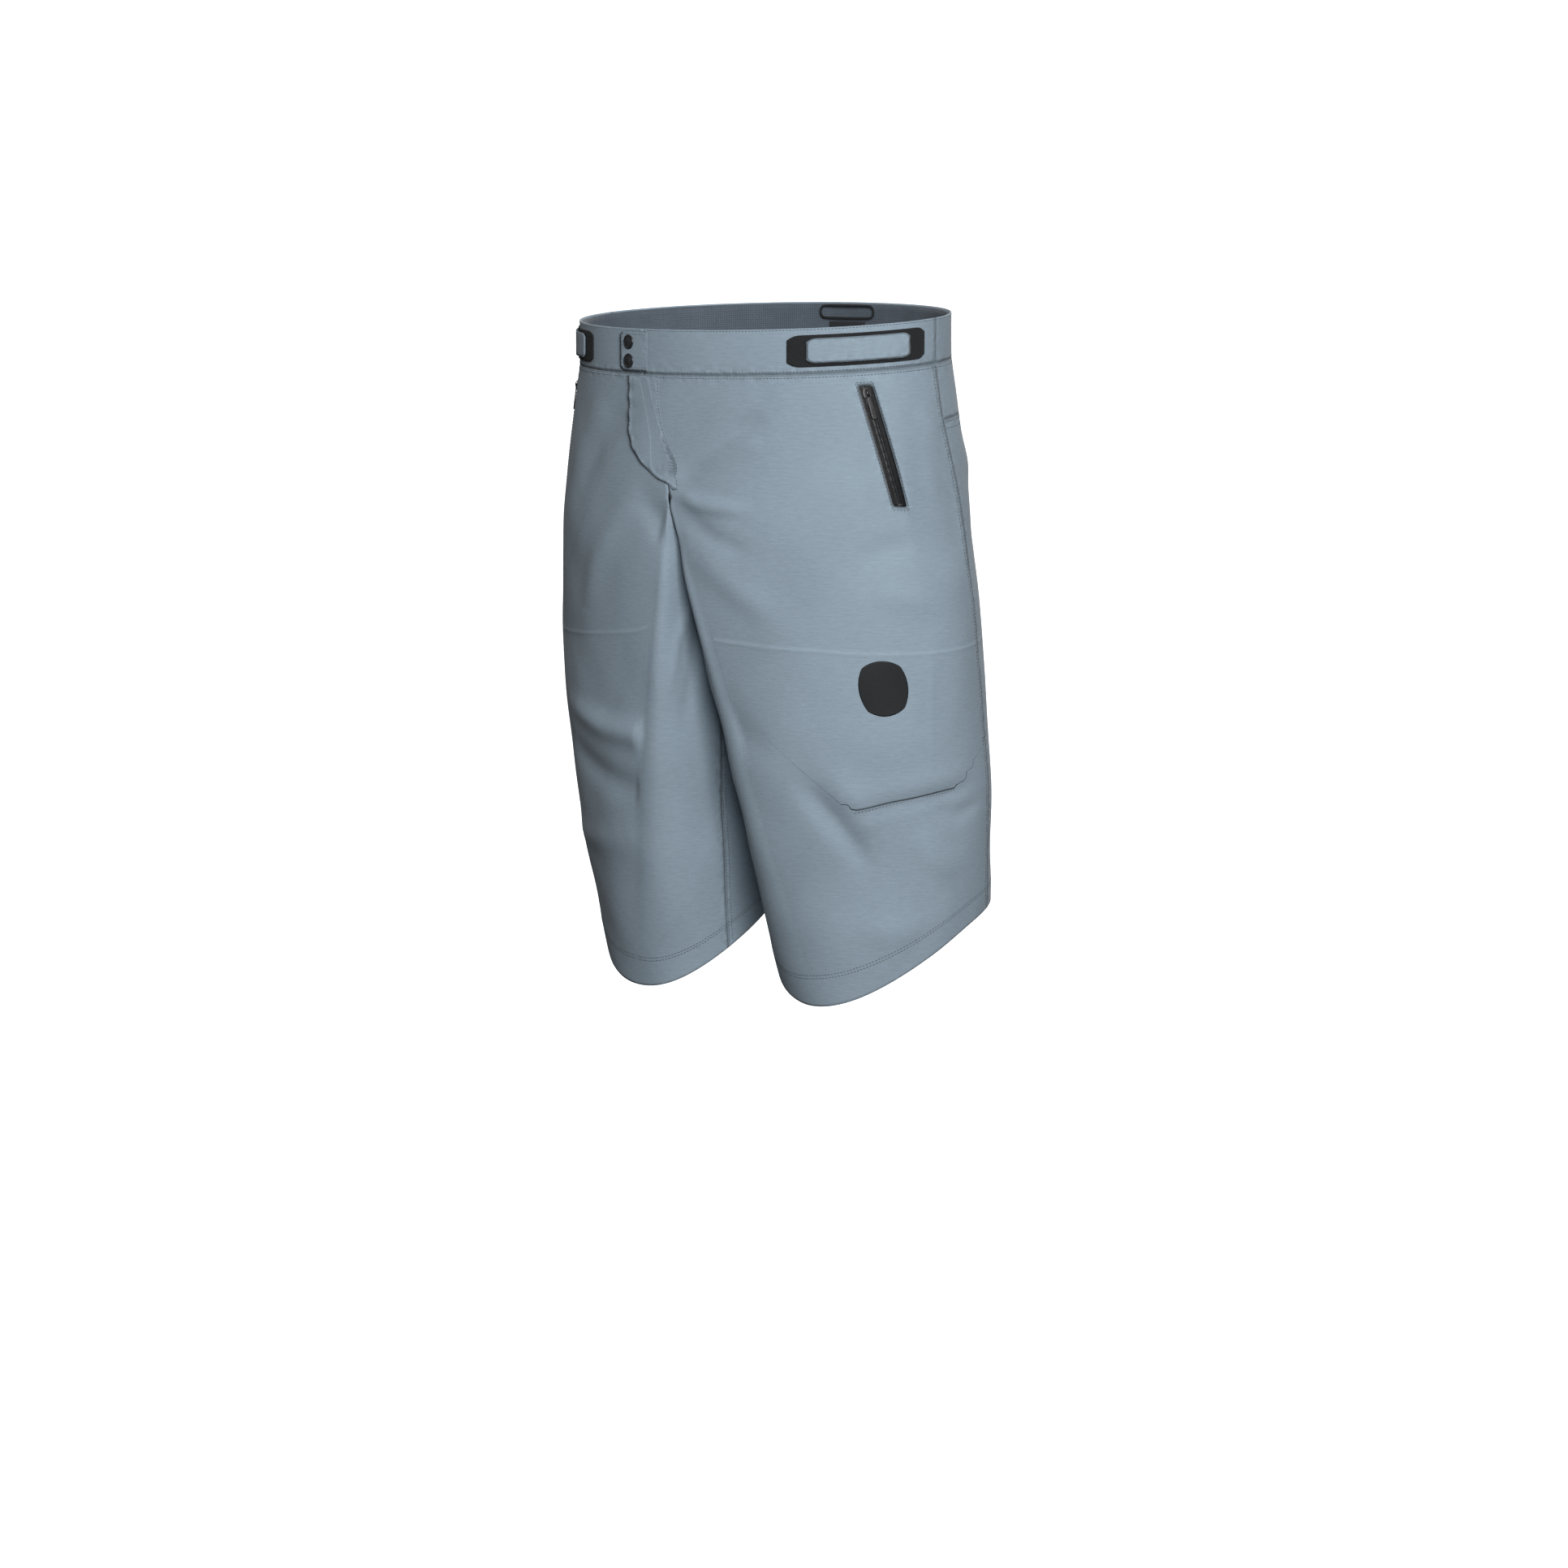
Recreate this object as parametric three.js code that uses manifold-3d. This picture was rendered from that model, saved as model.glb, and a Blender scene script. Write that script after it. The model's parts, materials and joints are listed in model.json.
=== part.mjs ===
// Knee-length trail over-shorts, worn shape, as separate sewn and moving pieces.
// Millimetres, +Z up, -Y is the garment's front and +X the wearer's left.
// The origin is the centre of the waist opening, level with the waistband's front top edge.
import * as THREE from 'three';
import { mergeVertices } from 'three/addons/utils/BufferGeometryUtils.js';
import Module from 'manifold-3d';

const wasm = await Module();
wasm.setup();

// ---- Driving dimensions -------------------------------------------------------------
const WAIST_HALF_WIDTH = 188;      // waistband, side to side
const WAIST_HALF_DEPTH = 133;      // waistband, front to back
const HIP_HALF_WIDTH = 213;
const HIP_HALF_DEPTH = 137;
const BACK_RISE = 20;              // the waist is this much higher at the back
const BAND_HEIGHT = 40;
const FORK_FRONT_Z = -145;         // where the front centre seam starts to turn under
const FORK_BACK_Z = -138;
const FORK_SIDE_DROP = 35;         // the hip line is lower at the sides
const CROTCH_DROP = 66;            // depth of the crotch curve below the hip line
const HEM_FRONT_Z = -606;          // the hem's lowest point, over the knee
const HEM_BACK_RISE = 84;          // the hem is this much higher at the back
const HEM_OUTER_RISE = 72;
const HEM_INNER_RISE = 60;
const LEGS = {                     // worn shape of each hem: an oval of one girth, turned
  left: { centreX: 114, centreY: 33, long: 97, short: 95, turn: 52, fullness: 7 },
  right: { centreX: 108, centreY: 30, long: 112, short: 82, turn: 52, fullness: 12 },
};
const FABRIC = 1.2;                // outer cloth, with its turned seams
const SEAM_GAP = 0.4;              // between neighbouring panels along a seam
const LAYER_GAP = 0.35;            // between cloth layers
const FACET_RATIO = 236.67;        // hip half width to the room between two bent blocks
const FACET_ROOM = HIP_HALF_WIDTH / FACET_RATIO;
const INSEAM_ANGLE = -153;         // round the leg from its outer side, front negative
const SIDE_SEAM_TOP_ANGLE = 4;
const SIDE_SEAM_HEM_ANGLE = 20;
const YOKE_DEPTH = 0.34;           // share of the back rise that the yoke covers
const HEM_FACING_HEIGHT = 28;
const HEM_FACING_THICKNESS = 1.0;
const BAND_THICKNESS = 1.6;
const LINING_THICKNESS = 1.2;
const LINING_ROOM = 0.8;           // between the band and its lining
const LINING_MARGIN = 1;
const LINING_END_ANGLE = 4;        // from the front opening to each end of the lining

const TAPE_WIDTH = 11;             // one half of a zip
const TAPE_THICKNESS = 0.8;
const ZIP_SLOT = 1.8;              // between the two halves, where the slider's post runs
const CHAIN_WIDTH = 1.6;
const CHAIN_HEIGHT = 1.0;
const ZIP_CLEARANCE = 0.35;
const SLIDER_WIDTH = 9;
const SLIDER_LENGTH = 10;
const SLIDER_PLATE = 1.0;
const POST_WIDTH = 1.0;
const POST_LENGTH = 3;
const ARCH_LENGTH = 6;             // the slider's bridge that holds its puller
const ARCH_HEIGHT = 4.6;
const ARCH_WALL = 1.0;
const ARCH_SILL = 0.4;             // the eye's lower edge above the bridge's foot
const ARCH_OVERLAP = 0.2;          // the bridge's foot in the slider's plate
const ARCH_WIDTH = 1.4;
const PULLER_LENGTH = 24;
const PULLER_WIDTH = 5.6;
const PULLER_THICKNESS = 1.0;
const PULLER_BAR = 1.2;
const PULLER_WINDOW_LENGTH = 3.4;
const PULLER_WINDOW_WIDTH = 2.6;
const STOP_LENGTH = 3;
const STOP_MARGIN = 0.5;
const STOP_HEIGHT = 0.8;
const STOP_OVERHANG = 0.5;         // beyond the chain, each side
const SLOT_REACH = 16;             // depth of the cutters that open the zips' slots

const POCKET_ZIP = { topAngle: -29.8, topLevel: 0.07, bottomAngle: -21.6, bottomLevel: 0.87 };
const POCKET_SLOT_WIDTH = 14;      // the strip of zip that shows
const POCKET_SLOT_MARGIN = 3;      // zip tape beyond each end of the slot
const POCKET_SLIDER_SPOT = 10;     // the slider's centre below the tape's top
const POCKET_BAG = { frontAngle: -64, rearAngle: -4, topLevel: 0.012, bottomLevel: 1.34 };
const BAG_THICKNESS = 1.0;
const BAG_FULLNESS = 0.8025;       // how far its middle stands in, in reaches of the tape
const TAPE_BEND_RADIUS = 78.67;    // of the panel that the flat tapes lie behind

const FLY_TOP_X = -34;             // the opening slants from here towards the middle
const FLY_BOTTOM_X = -3;
const FLY_ROOM = 0.55;             // between the fly slider's bridge and the flap
const FLY_TOP_LEVEL = 0.03;
const FLY_BOTTOM_LEVEL = 0.84;
const FLY_SLIDER_SPOT = 9;         // the slider's centre below the tape's top
const FLAP_STITCH_X = -15;
const FLAP_EDGE_X = -52;
const FLAP_TIP_X = 8;
const FLAP_TOP_LEVEL = 0.01;
const FLAP_TIP_LEVEL = 0.95;
const FLAP_STITCH_BEND = 1.7;      // how late each edge turns to the tip
const FLAP_EDGE_START = 0.35;
const FLAP_EDGE_BEND = 2.2;
const FLAP_TIP_HALF = 1.5;
const FLAP_THICKNESS = 1.6;
const SHIELD_HALF_WIDTH = 19;
const SHIELD_THICKNESS = 0.9;
const SHIELD_ROOM = 0.2;
const TAB_SEWN_X = -27;            // the waist tab's sewn end and its free end
const TAB_EDGE_X = -64;
const TAB_EDGE_MARGIN = 2;
const SNAP_X = -51;
const SNAP_REACH = 4;              // half the cloth that a snap lies flat on
const SNAP_DROPS = [12, 29];       // below the band's top edge
const SNAP_RADIUS = 6.5;
const SNAP_HEAD = 1.6;
const SNAP_STEM_RADIUS = 2.6;
const SNAP_SOCKET_RADIUS = 1.9;
const SNAP_CLEARANCE = 0.45;
const SNAP_JOIN = 0.4;             // overlap of a stem and its head
const SNAP_ROOF = 0.4;             // above the socket
const SNAP_BACK = 0.7;             // the stud's base behind the band
const SNAP_BASE_SINK = 0.3;        // the base's front face below the band's
const SNAP_POST_ROOT = 0.5;
const SNAP_POST_SHORT = 1;         // the post's end below the tab's outer face
const SNAP_CUT = 1;                // the socket's cutter beyond the stem's end
const SNAP_HOLE_REACH = 6;

const ADJUSTER = { frontAngle: -48, rearAngle: -12, height: 22, thickness: 1.6 };
const ADJUSTER_LOOP = { frontAngle: -54, rearAngle: -4, height: 28, thickness: 0.9 };
const ADJUSTER_CLEARANCE = 0.9;
const PRINT = { angle: -36, level: 1.36, width: 44, height: 50, thickness: 0.5 };
// Inside the back of the band; clear is the room for the band's curve behind a flat piece.
const HANGER = { width: 50, radius: 7, strap: 2.4, thickness: 1.2, drop: 9, clear: 3 };
const LABEL = { width: 42, height: 22, thickness: 0.6, drop: 29, clear: 2.4 };

// ---- Materials ----------------------------------------------------------------------
function material(color, roughness, metalness = 0) {
  return new THREE.MeshStandardMaterial({ color, roughness, metalness });
}
const CLOTH = () => material(0x8c98a5, 0.85);
const LINING = () => material(0x59616b, 0.9);
const BLACK_TAPE = () => material(0x17181a, 0.75);
const BLACK_METAL = () => material(0x222325, 0.4, 0.7);
const SNAP_METAL = () => material(0x3a3d40, 0.35, 0.9);
const HOOK_TAPE = () => material(0x1d1f22, 0.95);
const INK = () => material(0x141518, 0.6);

// ---- The worn shape -----------------------------------------------------------------
// Angles go round from the wearer's outer side (0), with the front at -90 and the back at 90.
// Levels run down the cloth: -1 the top edge, 0 the waist seam, 1 the hip line, 2 the hem.
const radians = THREE.MathUtils.degToRad;
const lerp = THREE.MathUtils.lerp;
const clamp = THREE.MathUtils.clamp;

function waistTop(sine) {
  return BACK_RISE * (0.5 + 0.5 * sine);
}

function hipLine(cosine, sine) {
  const middle = 0.5 * (FORK_FRONT_Z + FORK_BACK_Z);
  const tilt = 0.5 * (FORK_BACK_Z - FORK_FRONT_Z);
  return middle + tilt * sine - FORK_SIDE_DROP * Math.abs(cosine);
}

function hemLine(cosine, sine) {
  const tilt = 0.5 * HEM_BACK_RISE;
  const sides = 0.5 * (HEM_OUTER_RISE + HEM_INNER_RISE) - tilt;
  const slope = 0.5 * (HEM_OUTER_RISE - HEM_INNER_RISE);
  return HEM_FRONT_Z + tilt * (1 + sine) + sides * cosine * cosine + slope * cosine;
}

function bodyPoint(angle, level) {
  const cosine = Math.cos(radians(angle));
  const sine = Math.sin(radians(angle));
  const down = clamp(level, 0, 1);
  const seam = waistTop(sine) - BAND_HEIGHT;
  const z = level < 0 ? seam - BAND_HEIGHT * level : lerp(seam, hipLine(cosine, sine), down);
  const halfWidth = lerp(WAIST_HALF_WIDTH, HIP_HALF_WIDTH, down);
  const halfDepth = lerp(WAIST_HALF_DEPTH, HIP_HALF_DEPTH, down);
  return new THREE.Vector3(halfWidth * cosine, halfDepth * sine, z);
}

function legPoint(leg, angle, level) {
  const cosine = Math.cos(radians(angle));
  const sine = Math.sin(radians(angle));
  const down = clamp(level - 1, 0, 1);
  const outward = Math.max(cosine, 0);
  const inward = Math.max(-cosine, 0);
  const middle = 0.5 * (FORK_FRONT_Z + FORK_BACK_Z);
  const tilt = 0.5 * (FORK_BACK_Z - FORK_FRONT_Z);
  const forkZ = middle + tilt * sine - FORK_SIDE_DROP * outward - CROTCH_DROP * inward ** 0.7;
  const turn = radians(leg.turn);
  const around = radians(angle) - turn;
  const along = leg.long * Math.cos(around);
  const across = leg.short * Math.sin(around);
  const hemX = leg.centreX + along * Math.cos(turn) - across * Math.sin(turn);
  const hemY = leg.centreY + along * Math.sin(turn) + across * Math.cos(turn);
  const bow = leg.fullness * 4 * down * (1 - down);
  const x = lerp(HIP_HALF_WIDTH * outward, hemX, down) + bow * clamp(cosine + 0.2, 0, 1.2);
  const y = lerp(HIP_HALF_DEPTH * sine, hemY, down) - bow * Math.max(-sine, 0);
  const z = lerp(forkZ, hemLine(cosine, sine), down);
  return new THREE.Vector3(Math.max(x, SEAM_GAP / 2), y, z);
}

// A point that lies the given depth inside the cloth's outer face.
// Levels past 1 belong to one leg, whose angles also go round its inner side.
function cloth(side, angle, level, depth) {
  const inLeg = level > 1;
  const at = inLeg ? (a, l) => legPoint(LEGS[side], a, Math.max(l, 1)) : bodyPoint;
  const step = 0.01;
  const place = at(angle, level);
  const down = at(angle, level + step).sub(at(angle, level - step));
  const round = at(angle + 1, level).sub(at(angle - 1, level));
  const normal = down.cross(round).normalize();
  place.addScaledVector(normal, -depth);
  if (inLeg) place.x = Math.max(place.x, SEAM_GAP / 2);
  if (side === 'right') place.x = -place.x;
  return place;
}

function sideSeam(level) {
  return lerp(SIDE_SEAM_TOP_ANGLE, SIDE_SEAM_HEM_ANGLE, clamp((level - 0.3) / 1.7, 0, 1));
}

// ---- Cloth pieces -------------------------------------------------------------------
// Bends a flat block over the cloth: spot(u, w) gives [side, angle, level, depth] for u
// across and w down the piece, both from 0 to 1.
function bentBlock(columns, rows, thickness, spot) {
  const block = new THREE.BoxGeometry(1, 1, 1, columns, rows, 1);
  const corner = block.getAttribute('position');
  for (let i = 0; i < corner.count; i += 1) {
    const [side, angle, level, depth] = spot(corner.getX(i) + 0.5, 0.5 - corner.getY(i));
    const inner = corner.getZ(i) < 0 ? thickness : 0;
    const place = cloth(side, angle, level, depth + inner);
    corner.setXYZ(i, place.x, place.y, place.z);
  }
  return faceOutward(block);
}

function volume(geometry) {
  const corner = geometry.getAttribute('position');
  const index = geometry.getIndex();
  const a = new THREE.Vector3();
  const b = new THREE.Vector3();
  const c = new THREE.Vector3();
  let sum = 0;
  for (let i = 0; i < index.count; i += 3) {
    a.fromBufferAttribute(corner, index.getX(i));
    b.fromBufferAttribute(corner, index.getX(i + 1));
    c.fromBufferAttribute(corner, index.getX(i + 2));
    sum += a.dot(b.cross(c));
  }
  return sum / 6;
}

function faceOutward(geometry) {
  if (volume(geometry) < 0) {
    const index = geometry.getIndex();
    for (let i = 0; i < index.count; i += 3) {
      const second = index.getX(i + 1);
      index.setX(i + 1, index.getX(i + 2));
      index.setX(i + 2, second);
    }
  }
  geometry.computeVertexNormals();
  return geometry;
}

function solid(geometry) {
  const bare = geometry.clone();
  bare.deleteAttribute('normal');
  bare.deleteAttribute('uv');
  const merged = mergeVertices(bare, 1e-4);
  const mesh = new wasm.Mesh({
    numProp: 3,
    vertProperties: new Float32Array(merged.getAttribute('position').array),
    triVerts: new Uint32Array(merged.getIndex().array),
  });
  return new wasm.Manifold(mesh);
}

function fromSolid(body) {
  const mesh = body.getMesh();
  const geometry = new THREE.BufferGeometry();
  geometry.setAttribute('position', new THREE.BufferAttribute(mesh.vertProperties, 3));
  geometry.setIndex(new THREE.BufferAttribute(mesh.triVerts, 1));
  geometry.computeVertexNormals();
  return geometry;
}

function cut(geometry, ...tools) {
  return fromSolid(tools.reduce((left, tool) => left.subtract(solid(tool)), solid(geometry)));
}

function join(...pieces) {
  return fromSolid(pieces.map(solid).reduce((whole, piece) => whole.add(piece)));
}

// A leg panel's rows run from its centre seam, crotch curve and inseam to the side seam.
const gapAngle = SEAM_GAP * 0.5 * 180 / Math.PI / LEGS.left.short;
const FORK = 1.0005;               // a level just past the hip line, where the legs begin

function legPanel(side, centre, inseam, topLevel, hipShare, crotchShare, columns, rows) {
  const hand = -Math.sign(centre(1));
  return bentBlock(columns, rows, FABRIC, (u, w) => {
    const trim = hand * gapAngle;
    let inner = [inseam + trim, lerp(FORK, 2, (w - crotchShare) / (1 - crotchShare))];
    let outerLevel = lerp(FORK, 2, (w - hipShare) / (1 - hipShare));
    if (w < hipShare) {
      const level = lerp(topLevel, 1, w / hipShare);
      inner = [centre(level) + trim, level];
      outerLevel = level;
    } else if (w < crotchShare) {
      const turned = (w - hipShare) / (crotchShare - hipShare);
      inner = [lerp(centre(1), inseam, turned) + trim, FORK];
    }
    const level = lerp(inner[1], outerLevel, u);
    const outerAngle = sideSeam(outerLevel) - trim;
    return [side, lerp(inner[0], outerAngle, u), level, 0];
  });
}

// The front opening's line across the body at a level.
function frontLineX(level) {
  const below = (level - FLY_BOTTOM_LEVEL) / (1 - FLY_BOTTOM_LEVEL);
  const above = lerp(FLY_TOP_X, FLY_BOTTOM_X, clamp(level / FLY_BOTTOM_LEVEL, 0, 1));
  return below > 0 ? lerp(FLY_BOTTOM_X, 0, below) : above;
}

function frontPanel(side) {
  const hand = side === 'left' ? 1 : -1;
  const centre = (level) => angleAtX(hand * frontLineX(level), level);
  return legPanel(side, centre, INSEAM_ANGLE, 0.003, 8 / 28, 12 / 28, 14, 28);
}

function backPanel(side) {
  return legPanel(side, () => 90, INSEAM_ANGLE + 360, YOKE_DEPTH + 0.004, 5 / 26, 10 / 26, 16, 26);
}

// The yoke goes round the back from one side seam to the other.
function backYoke() {
  return bentBlock(22, 3, FABRIC, (u, w) => {
    const level = lerp(0.003, YOKE_DEPTH, w);
    const start = sideSeam(level) + gapAngle;
    return ['left', lerp(start, 180 - start, u), level, 0];
  });
}

function band(startAngle, endAngle, topDrop, height, thickness, depth, columns) {
  return bentBlock(columns, 1, thickness, (u, w) => {
    const level = -1 + (topDrop + height * w) / BAND_HEIGHT;
    return ['left', lerp(startAngle, endAngle, u), level, depth];
  });
}

function angleAtX(x, level) {
  const halfWidth = lerp(WAIST_HALF_WIDTH, HIP_HALF_WIDTH, clamp(level, 0, 1));
  return -THREE.MathUtils.radToDeg(Math.acos(x / halfWidth));
}

function hemFacing(side) {
  const start = INSEAM_ANGLE + 2 * gapAngle;
  const end = INSEAM_ANGLE + 360 - 2 * gapAngle;
  return bentBlock(30, 1, HEM_FACING_THICKNESS, (u, w) => {
    const angle = lerp(start, end, u);
    const legLength = legPoint(LEGS[side], angle, 1).z - legPoint(LEGS[side], angle, 2).z;
    const level = lerp(2 - HEM_FACING_HEIGHT / legLength, 2, w);
    return [side, angle, level, FABRIC + LAYER_GAP + FACET_ROOM];
  });
}

// ---- Zips ---------------------------------------------------------------------------
// A zip lies in its own frame: x across, y up along it, z out of the garment.
// Its group's origin is the centre of the tape's outer face.
function frameBetween(top, bottom, across) {
  const up = top.clone().sub(bottom).normalize();
  const out = across.clone().cross(up).normalize();
  const right = up.clone().cross(out).normalize();
  const centre = top.clone().add(bottom).multiplyScalar(0.5);
  return new THREE.Matrix4().makeBasis(right, up, out).setPosition(centre);
}

function sewnFrame(top, bottom, left, right, sink) {
  const matrix = frameBetween(top, bottom, right.clone().sub(left));
  matrix.multiply(new THREE.Matrix4().makeTranslation(0, 0, -sink));
  return { matrix, length: top.distanceTo(bottom) };
}

function box(width, length, height, x, y, z) {
  return new THREE.BoxGeometry(width, length, height).translate(x, y, z);
}

function zipTape(length, hand) {
  const edge = ZIP_SLOT / 2;
  const shape = new THREE.Shape();
  shape.moveTo(edge, -TAPE_THICKNESS);
  shape.lineTo(edge + TAPE_WIDTH, -TAPE_THICKNESS);
  shape.lineTo(edge + TAPE_WIDTH, 0);
  shape.lineTo(edge + CHAIN_WIDTH, 0);
  shape.lineTo(edge + CHAIN_WIDTH, CHAIN_HEIGHT);
  shape.lineTo(edge, CHAIN_HEIGHT);
  const tape = new THREE.ExtrudeGeometry(shape, { depth: length, bevelEnabled: false });
  tape.rotateX(Math.PI / 2);
  tape.translate(0, length / 2, 0);
  if (hand < 0) tape.rotateZ(Math.PI);
  return tape;
}

// Heights above the tape: the bridge's foot and top, and the puller's bar, which is
// in the middle of the bridge's eye.
const ARCH_FOOT = CHAIN_HEIGHT + ZIP_CLEARANCE + SLIDER_PLATE - ARCH_OVERLAP;
const ARCH_TOP = ARCH_FOOT + ARCH_HEIGHT;
const PULLER_PIVOT = ARCH_FOOT + (ARCH_SILL + ARCH_HEIGHT - ARCH_WALL) / 2;

function zipSlider() {
  const upper = CHAIN_HEIGHT + ZIP_CLEARANCE;
  const lower = -TAPE_THICKNESS - ZIP_CLEARANCE;
  const plates = [
    box(SLIDER_WIDTH, SLIDER_LENGTH, SLIDER_PLATE, 0, 0, upper + SLIDER_PLATE / 2),
    box(SLIDER_WIDTH, SLIDER_LENGTH, SLIDER_PLATE, 0, 0, lower - SLIDER_PLATE / 2),
    box(POST_WIDTH, POST_LENGTH, upper - lower + SLIDER_PLATE, 0, 0, (upper + lower) / 2),
  ];
  const arch = new THREE.Shape();
  arch.moveTo(-ARCH_LENGTH / 2, 0);
  arch.lineTo(ARCH_LENGTH / 2, 0);
  arch.lineTo(ARCH_LENGTH / 2, ARCH_HEIGHT - ARCH_WALL);
  arch.lineTo(ARCH_LENGTH / 2 - ARCH_WALL, ARCH_HEIGHT);
  arch.lineTo(-ARCH_LENGTH / 2 + ARCH_WALL, ARCH_HEIGHT);
  arch.lineTo(-ARCH_LENGTH / 2, ARCH_HEIGHT - ARCH_WALL);
  const eye = new THREE.Path();
  const half = ARCH_LENGTH / 2 - ARCH_WALL;
  eye.moveTo(-half, ARCH_SILL);
  eye.lineTo(-half, ARCH_HEIGHT - ARCH_WALL);
  eye.lineTo(half, ARCH_HEIGHT - ARCH_WALL);
  eye.lineTo(half, ARCH_SILL);
  arch.holes.push(eye);
  const bridge = new THREE.ExtrudeGeometry(arch, { depth: ARCH_WIDTH, bevelEnabled: false });
  bridge.translate(0, 0, -ARCH_WIDTH / 2);
  bridge.rotateX(Math.PI / 2);
  bridge.rotateZ(Math.PI / 2);
  bridge.translate(0, 0, ARCH_FOOT);
  return join(...plates, bridge);
}

// The puller hangs down the zip from its bar, which lies in the bridge's eye.
function zipPuller() {
  const outline = new THREE.Shape();
  const half = PULLER_WIDTH / 2;
  outline.moveTo(-half, PULLER_BAR / 2);
  outline.lineTo(-half * 0.8, -PULLER_LENGTH + 2);
  outline.lineTo(-half * 0.4, -PULLER_LENGTH);
  outline.lineTo(half * 0.4, -PULLER_LENGTH);
  outline.lineTo(half * 0.8, -PULLER_LENGTH + 2);
  outline.lineTo(half, PULLER_BAR / 2);
  const slot = new THREE.Path();
  const side = PULLER_WINDOW_WIDTH / 2;
  slot.moveTo(-side, -PULLER_BAR / 2);
  slot.lineTo(side, -PULLER_BAR / 2);
  slot.lineTo(side, -PULLER_BAR / 2 - PULLER_WINDOW_LENGTH);
  slot.lineTo(-side, -PULLER_BAR / 2 - PULLER_WINDOW_LENGTH);
  outline.holes.push(slot);
  const puller = new THREE.ExtrudeGeometry(outline, { depth: PULLER_THICKNESS, bevelEnabled: false });
  puller.translate(0, 0, -PULLER_THICKNESS / 2);
  return puller;
}

function bottomStop() {
  const width = ZIP_SLOT + 2 * (CHAIN_WIDTH + STOP_OVERHANG);
  return box(width, STOP_LENGTH, STOP_HEIGHT, 0, 0, CHAIN_HEIGHT + ZIP_CLEARANCE + STOP_HEIGHT / 2);
}

const object = new THREE.Group();

function add(name, geometry, finish, parent = object) {
  const mesh = new THREE.Mesh(geometry, finish);
  mesh.name = name;
  parent.add(mesh);
  return mesh;
}

function addZip(name, frame, sliderSpot) {
  const group = new THREE.Group();
  group.applyMatrix4(frame.matrix);
  object.add(group);
  add(`${name}_tape_a`, zipTape(frame.length, 1), BLACK_TAPE(), group);
  add(`${name}_tape_b`, zipTape(frame.length, -1), BLACK_TAPE(), group);
  const carriage = new THREE.Group();
  carriage.position.y = frame.length / 2 - sliderSpot;
  group.add(carriage);
  add(`${name}_slider`, zipSlider(), BLACK_METAL(), carriage);
  const swing = new THREE.Group();
  swing.position.z = PULLER_PIVOT;
  carriage.add(swing);
  add(`${name}_puller`, zipPuller(), BLACK_METAL(), swing);
  const stop = add(`${name}_bottom_stop`, bottomStop(), BLACK_METAL(), group);
  stop.position.y = -frame.length / 2 + POCKET_SLOT_MARGIN + STOP_MARGIN + STOP_LENGTH / 2;
}

// ---- Pocket zips and bags -----------------------------------------------------------
// Flat tapes behind a curved panel need room that grows with the square of their reach.
const tapeReach = ZIP_SLOT / 2 + TAPE_WIDTH;
const tapeRoom = tapeReach ** 2 / (2 * TAPE_BEND_RADIUS);
const pocketSink = FABRIC + LAYER_GAP + tapeRoom + TAPE_THICKNESS;

function pocketFrame(side) {
  const { topAngle, topLevel, bottomAngle, bottomLevel } = POCKET_ZIP;
  const top = cloth(side, topAngle, topLevel, 0);
  const bottom = cloth(side, bottomAngle, bottomLevel, 0);
  const middleAngle = lerp(topAngle, bottomAngle, 0.5);
  const middleLevel = lerp(topLevel, bottomLevel, 0.5);
  const before = cloth(side, middleAngle - 3, middleLevel, 0);
  const after = cloth(side, middleAngle + 3, middleLevel, 0);
  const [left, right] = side === 'left' ? [before, after] : [after, before];
  return sewnFrame(top, bottom, left, right, pocketSink);
}

function slotCutter(frame, width, margin, reach) {
  const cutter = new THREE.BoxGeometry(width, frame.length - 2 * margin, reach);
  cutter.applyMatrix4(frame.matrix);
  return cutter;
}

function pocketBag(side) {
  const { frontAngle, rearAngle, topLevel, bottomLevel } = POCKET_BAG;
  return bentBlock(12, 10, BAG_THICKNESS, (u, w) => {
    const swell = (Math.sin(Math.PI * u) * Math.sin(Math.PI * w)) ** 0.35;
    const angle = lerp(frontAngle, rearAngle, u);
    const level = lerp(topLevel, bottomLevel, w);
    const depth = FABRIC + LAYER_GAP + FACET_ROOM;
    return [side, angle, level, depth + BAG_FULLNESS * tapeReach * swell];
  });
}

// ---- Fly ----------------------------------------------------------------------------
function flyFrame() {
  const halfway = lerp(FLY_TOP_LEVEL, FLY_BOTTOM_LEVEL, 0.5);
  const at = (level, offset) => cloth('left', angleAtX(frontLineX(level) + offset, level), level, 0);
  const left = at(halfway, -SLIDER_WIDTH / 2);
  const right = at(halfway, SLIDER_WIDTH / 2);
  const sink = ARCH_TOP + FLY_ROOM - LAYER_GAP;
  return sewnFrame(at(FLY_TOP_LEVEL, 0), at(FLY_BOTTOM_LEVEL, 0), left, right, sink);
}

function flapEdgeX(share) {
  const sweep = Math.max(share - FLAP_EDGE_START, 0) / (1 - FLAP_EDGE_START);
  return lerp(FLAP_EDGE_X, FLAP_TIP_X - FLAP_TIP_HALF, sweep ** FLAP_EDGE_BEND);
}

function flyFlap() {
  const depth = -(LAYER_GAP + FLAP_THICKNESS);
  return bentBlock(4, 12, FLAP_THICKNESS, (u, w) => {
    const level = lerp(FLAP_TOP_LEVEL, FLAP_TIP_LEVEL, w);
    const stitch = lerp(FLAP_STITCH_X, FLAP_TIP_X + FLAP_TIP_HALF, w ** FLAP_STITCH_BEND);
    const x = lerp(stitch, flapEdgeX(w), u);
    return ['left', angleAtX(x, level), level, depth];
  });
}

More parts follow.
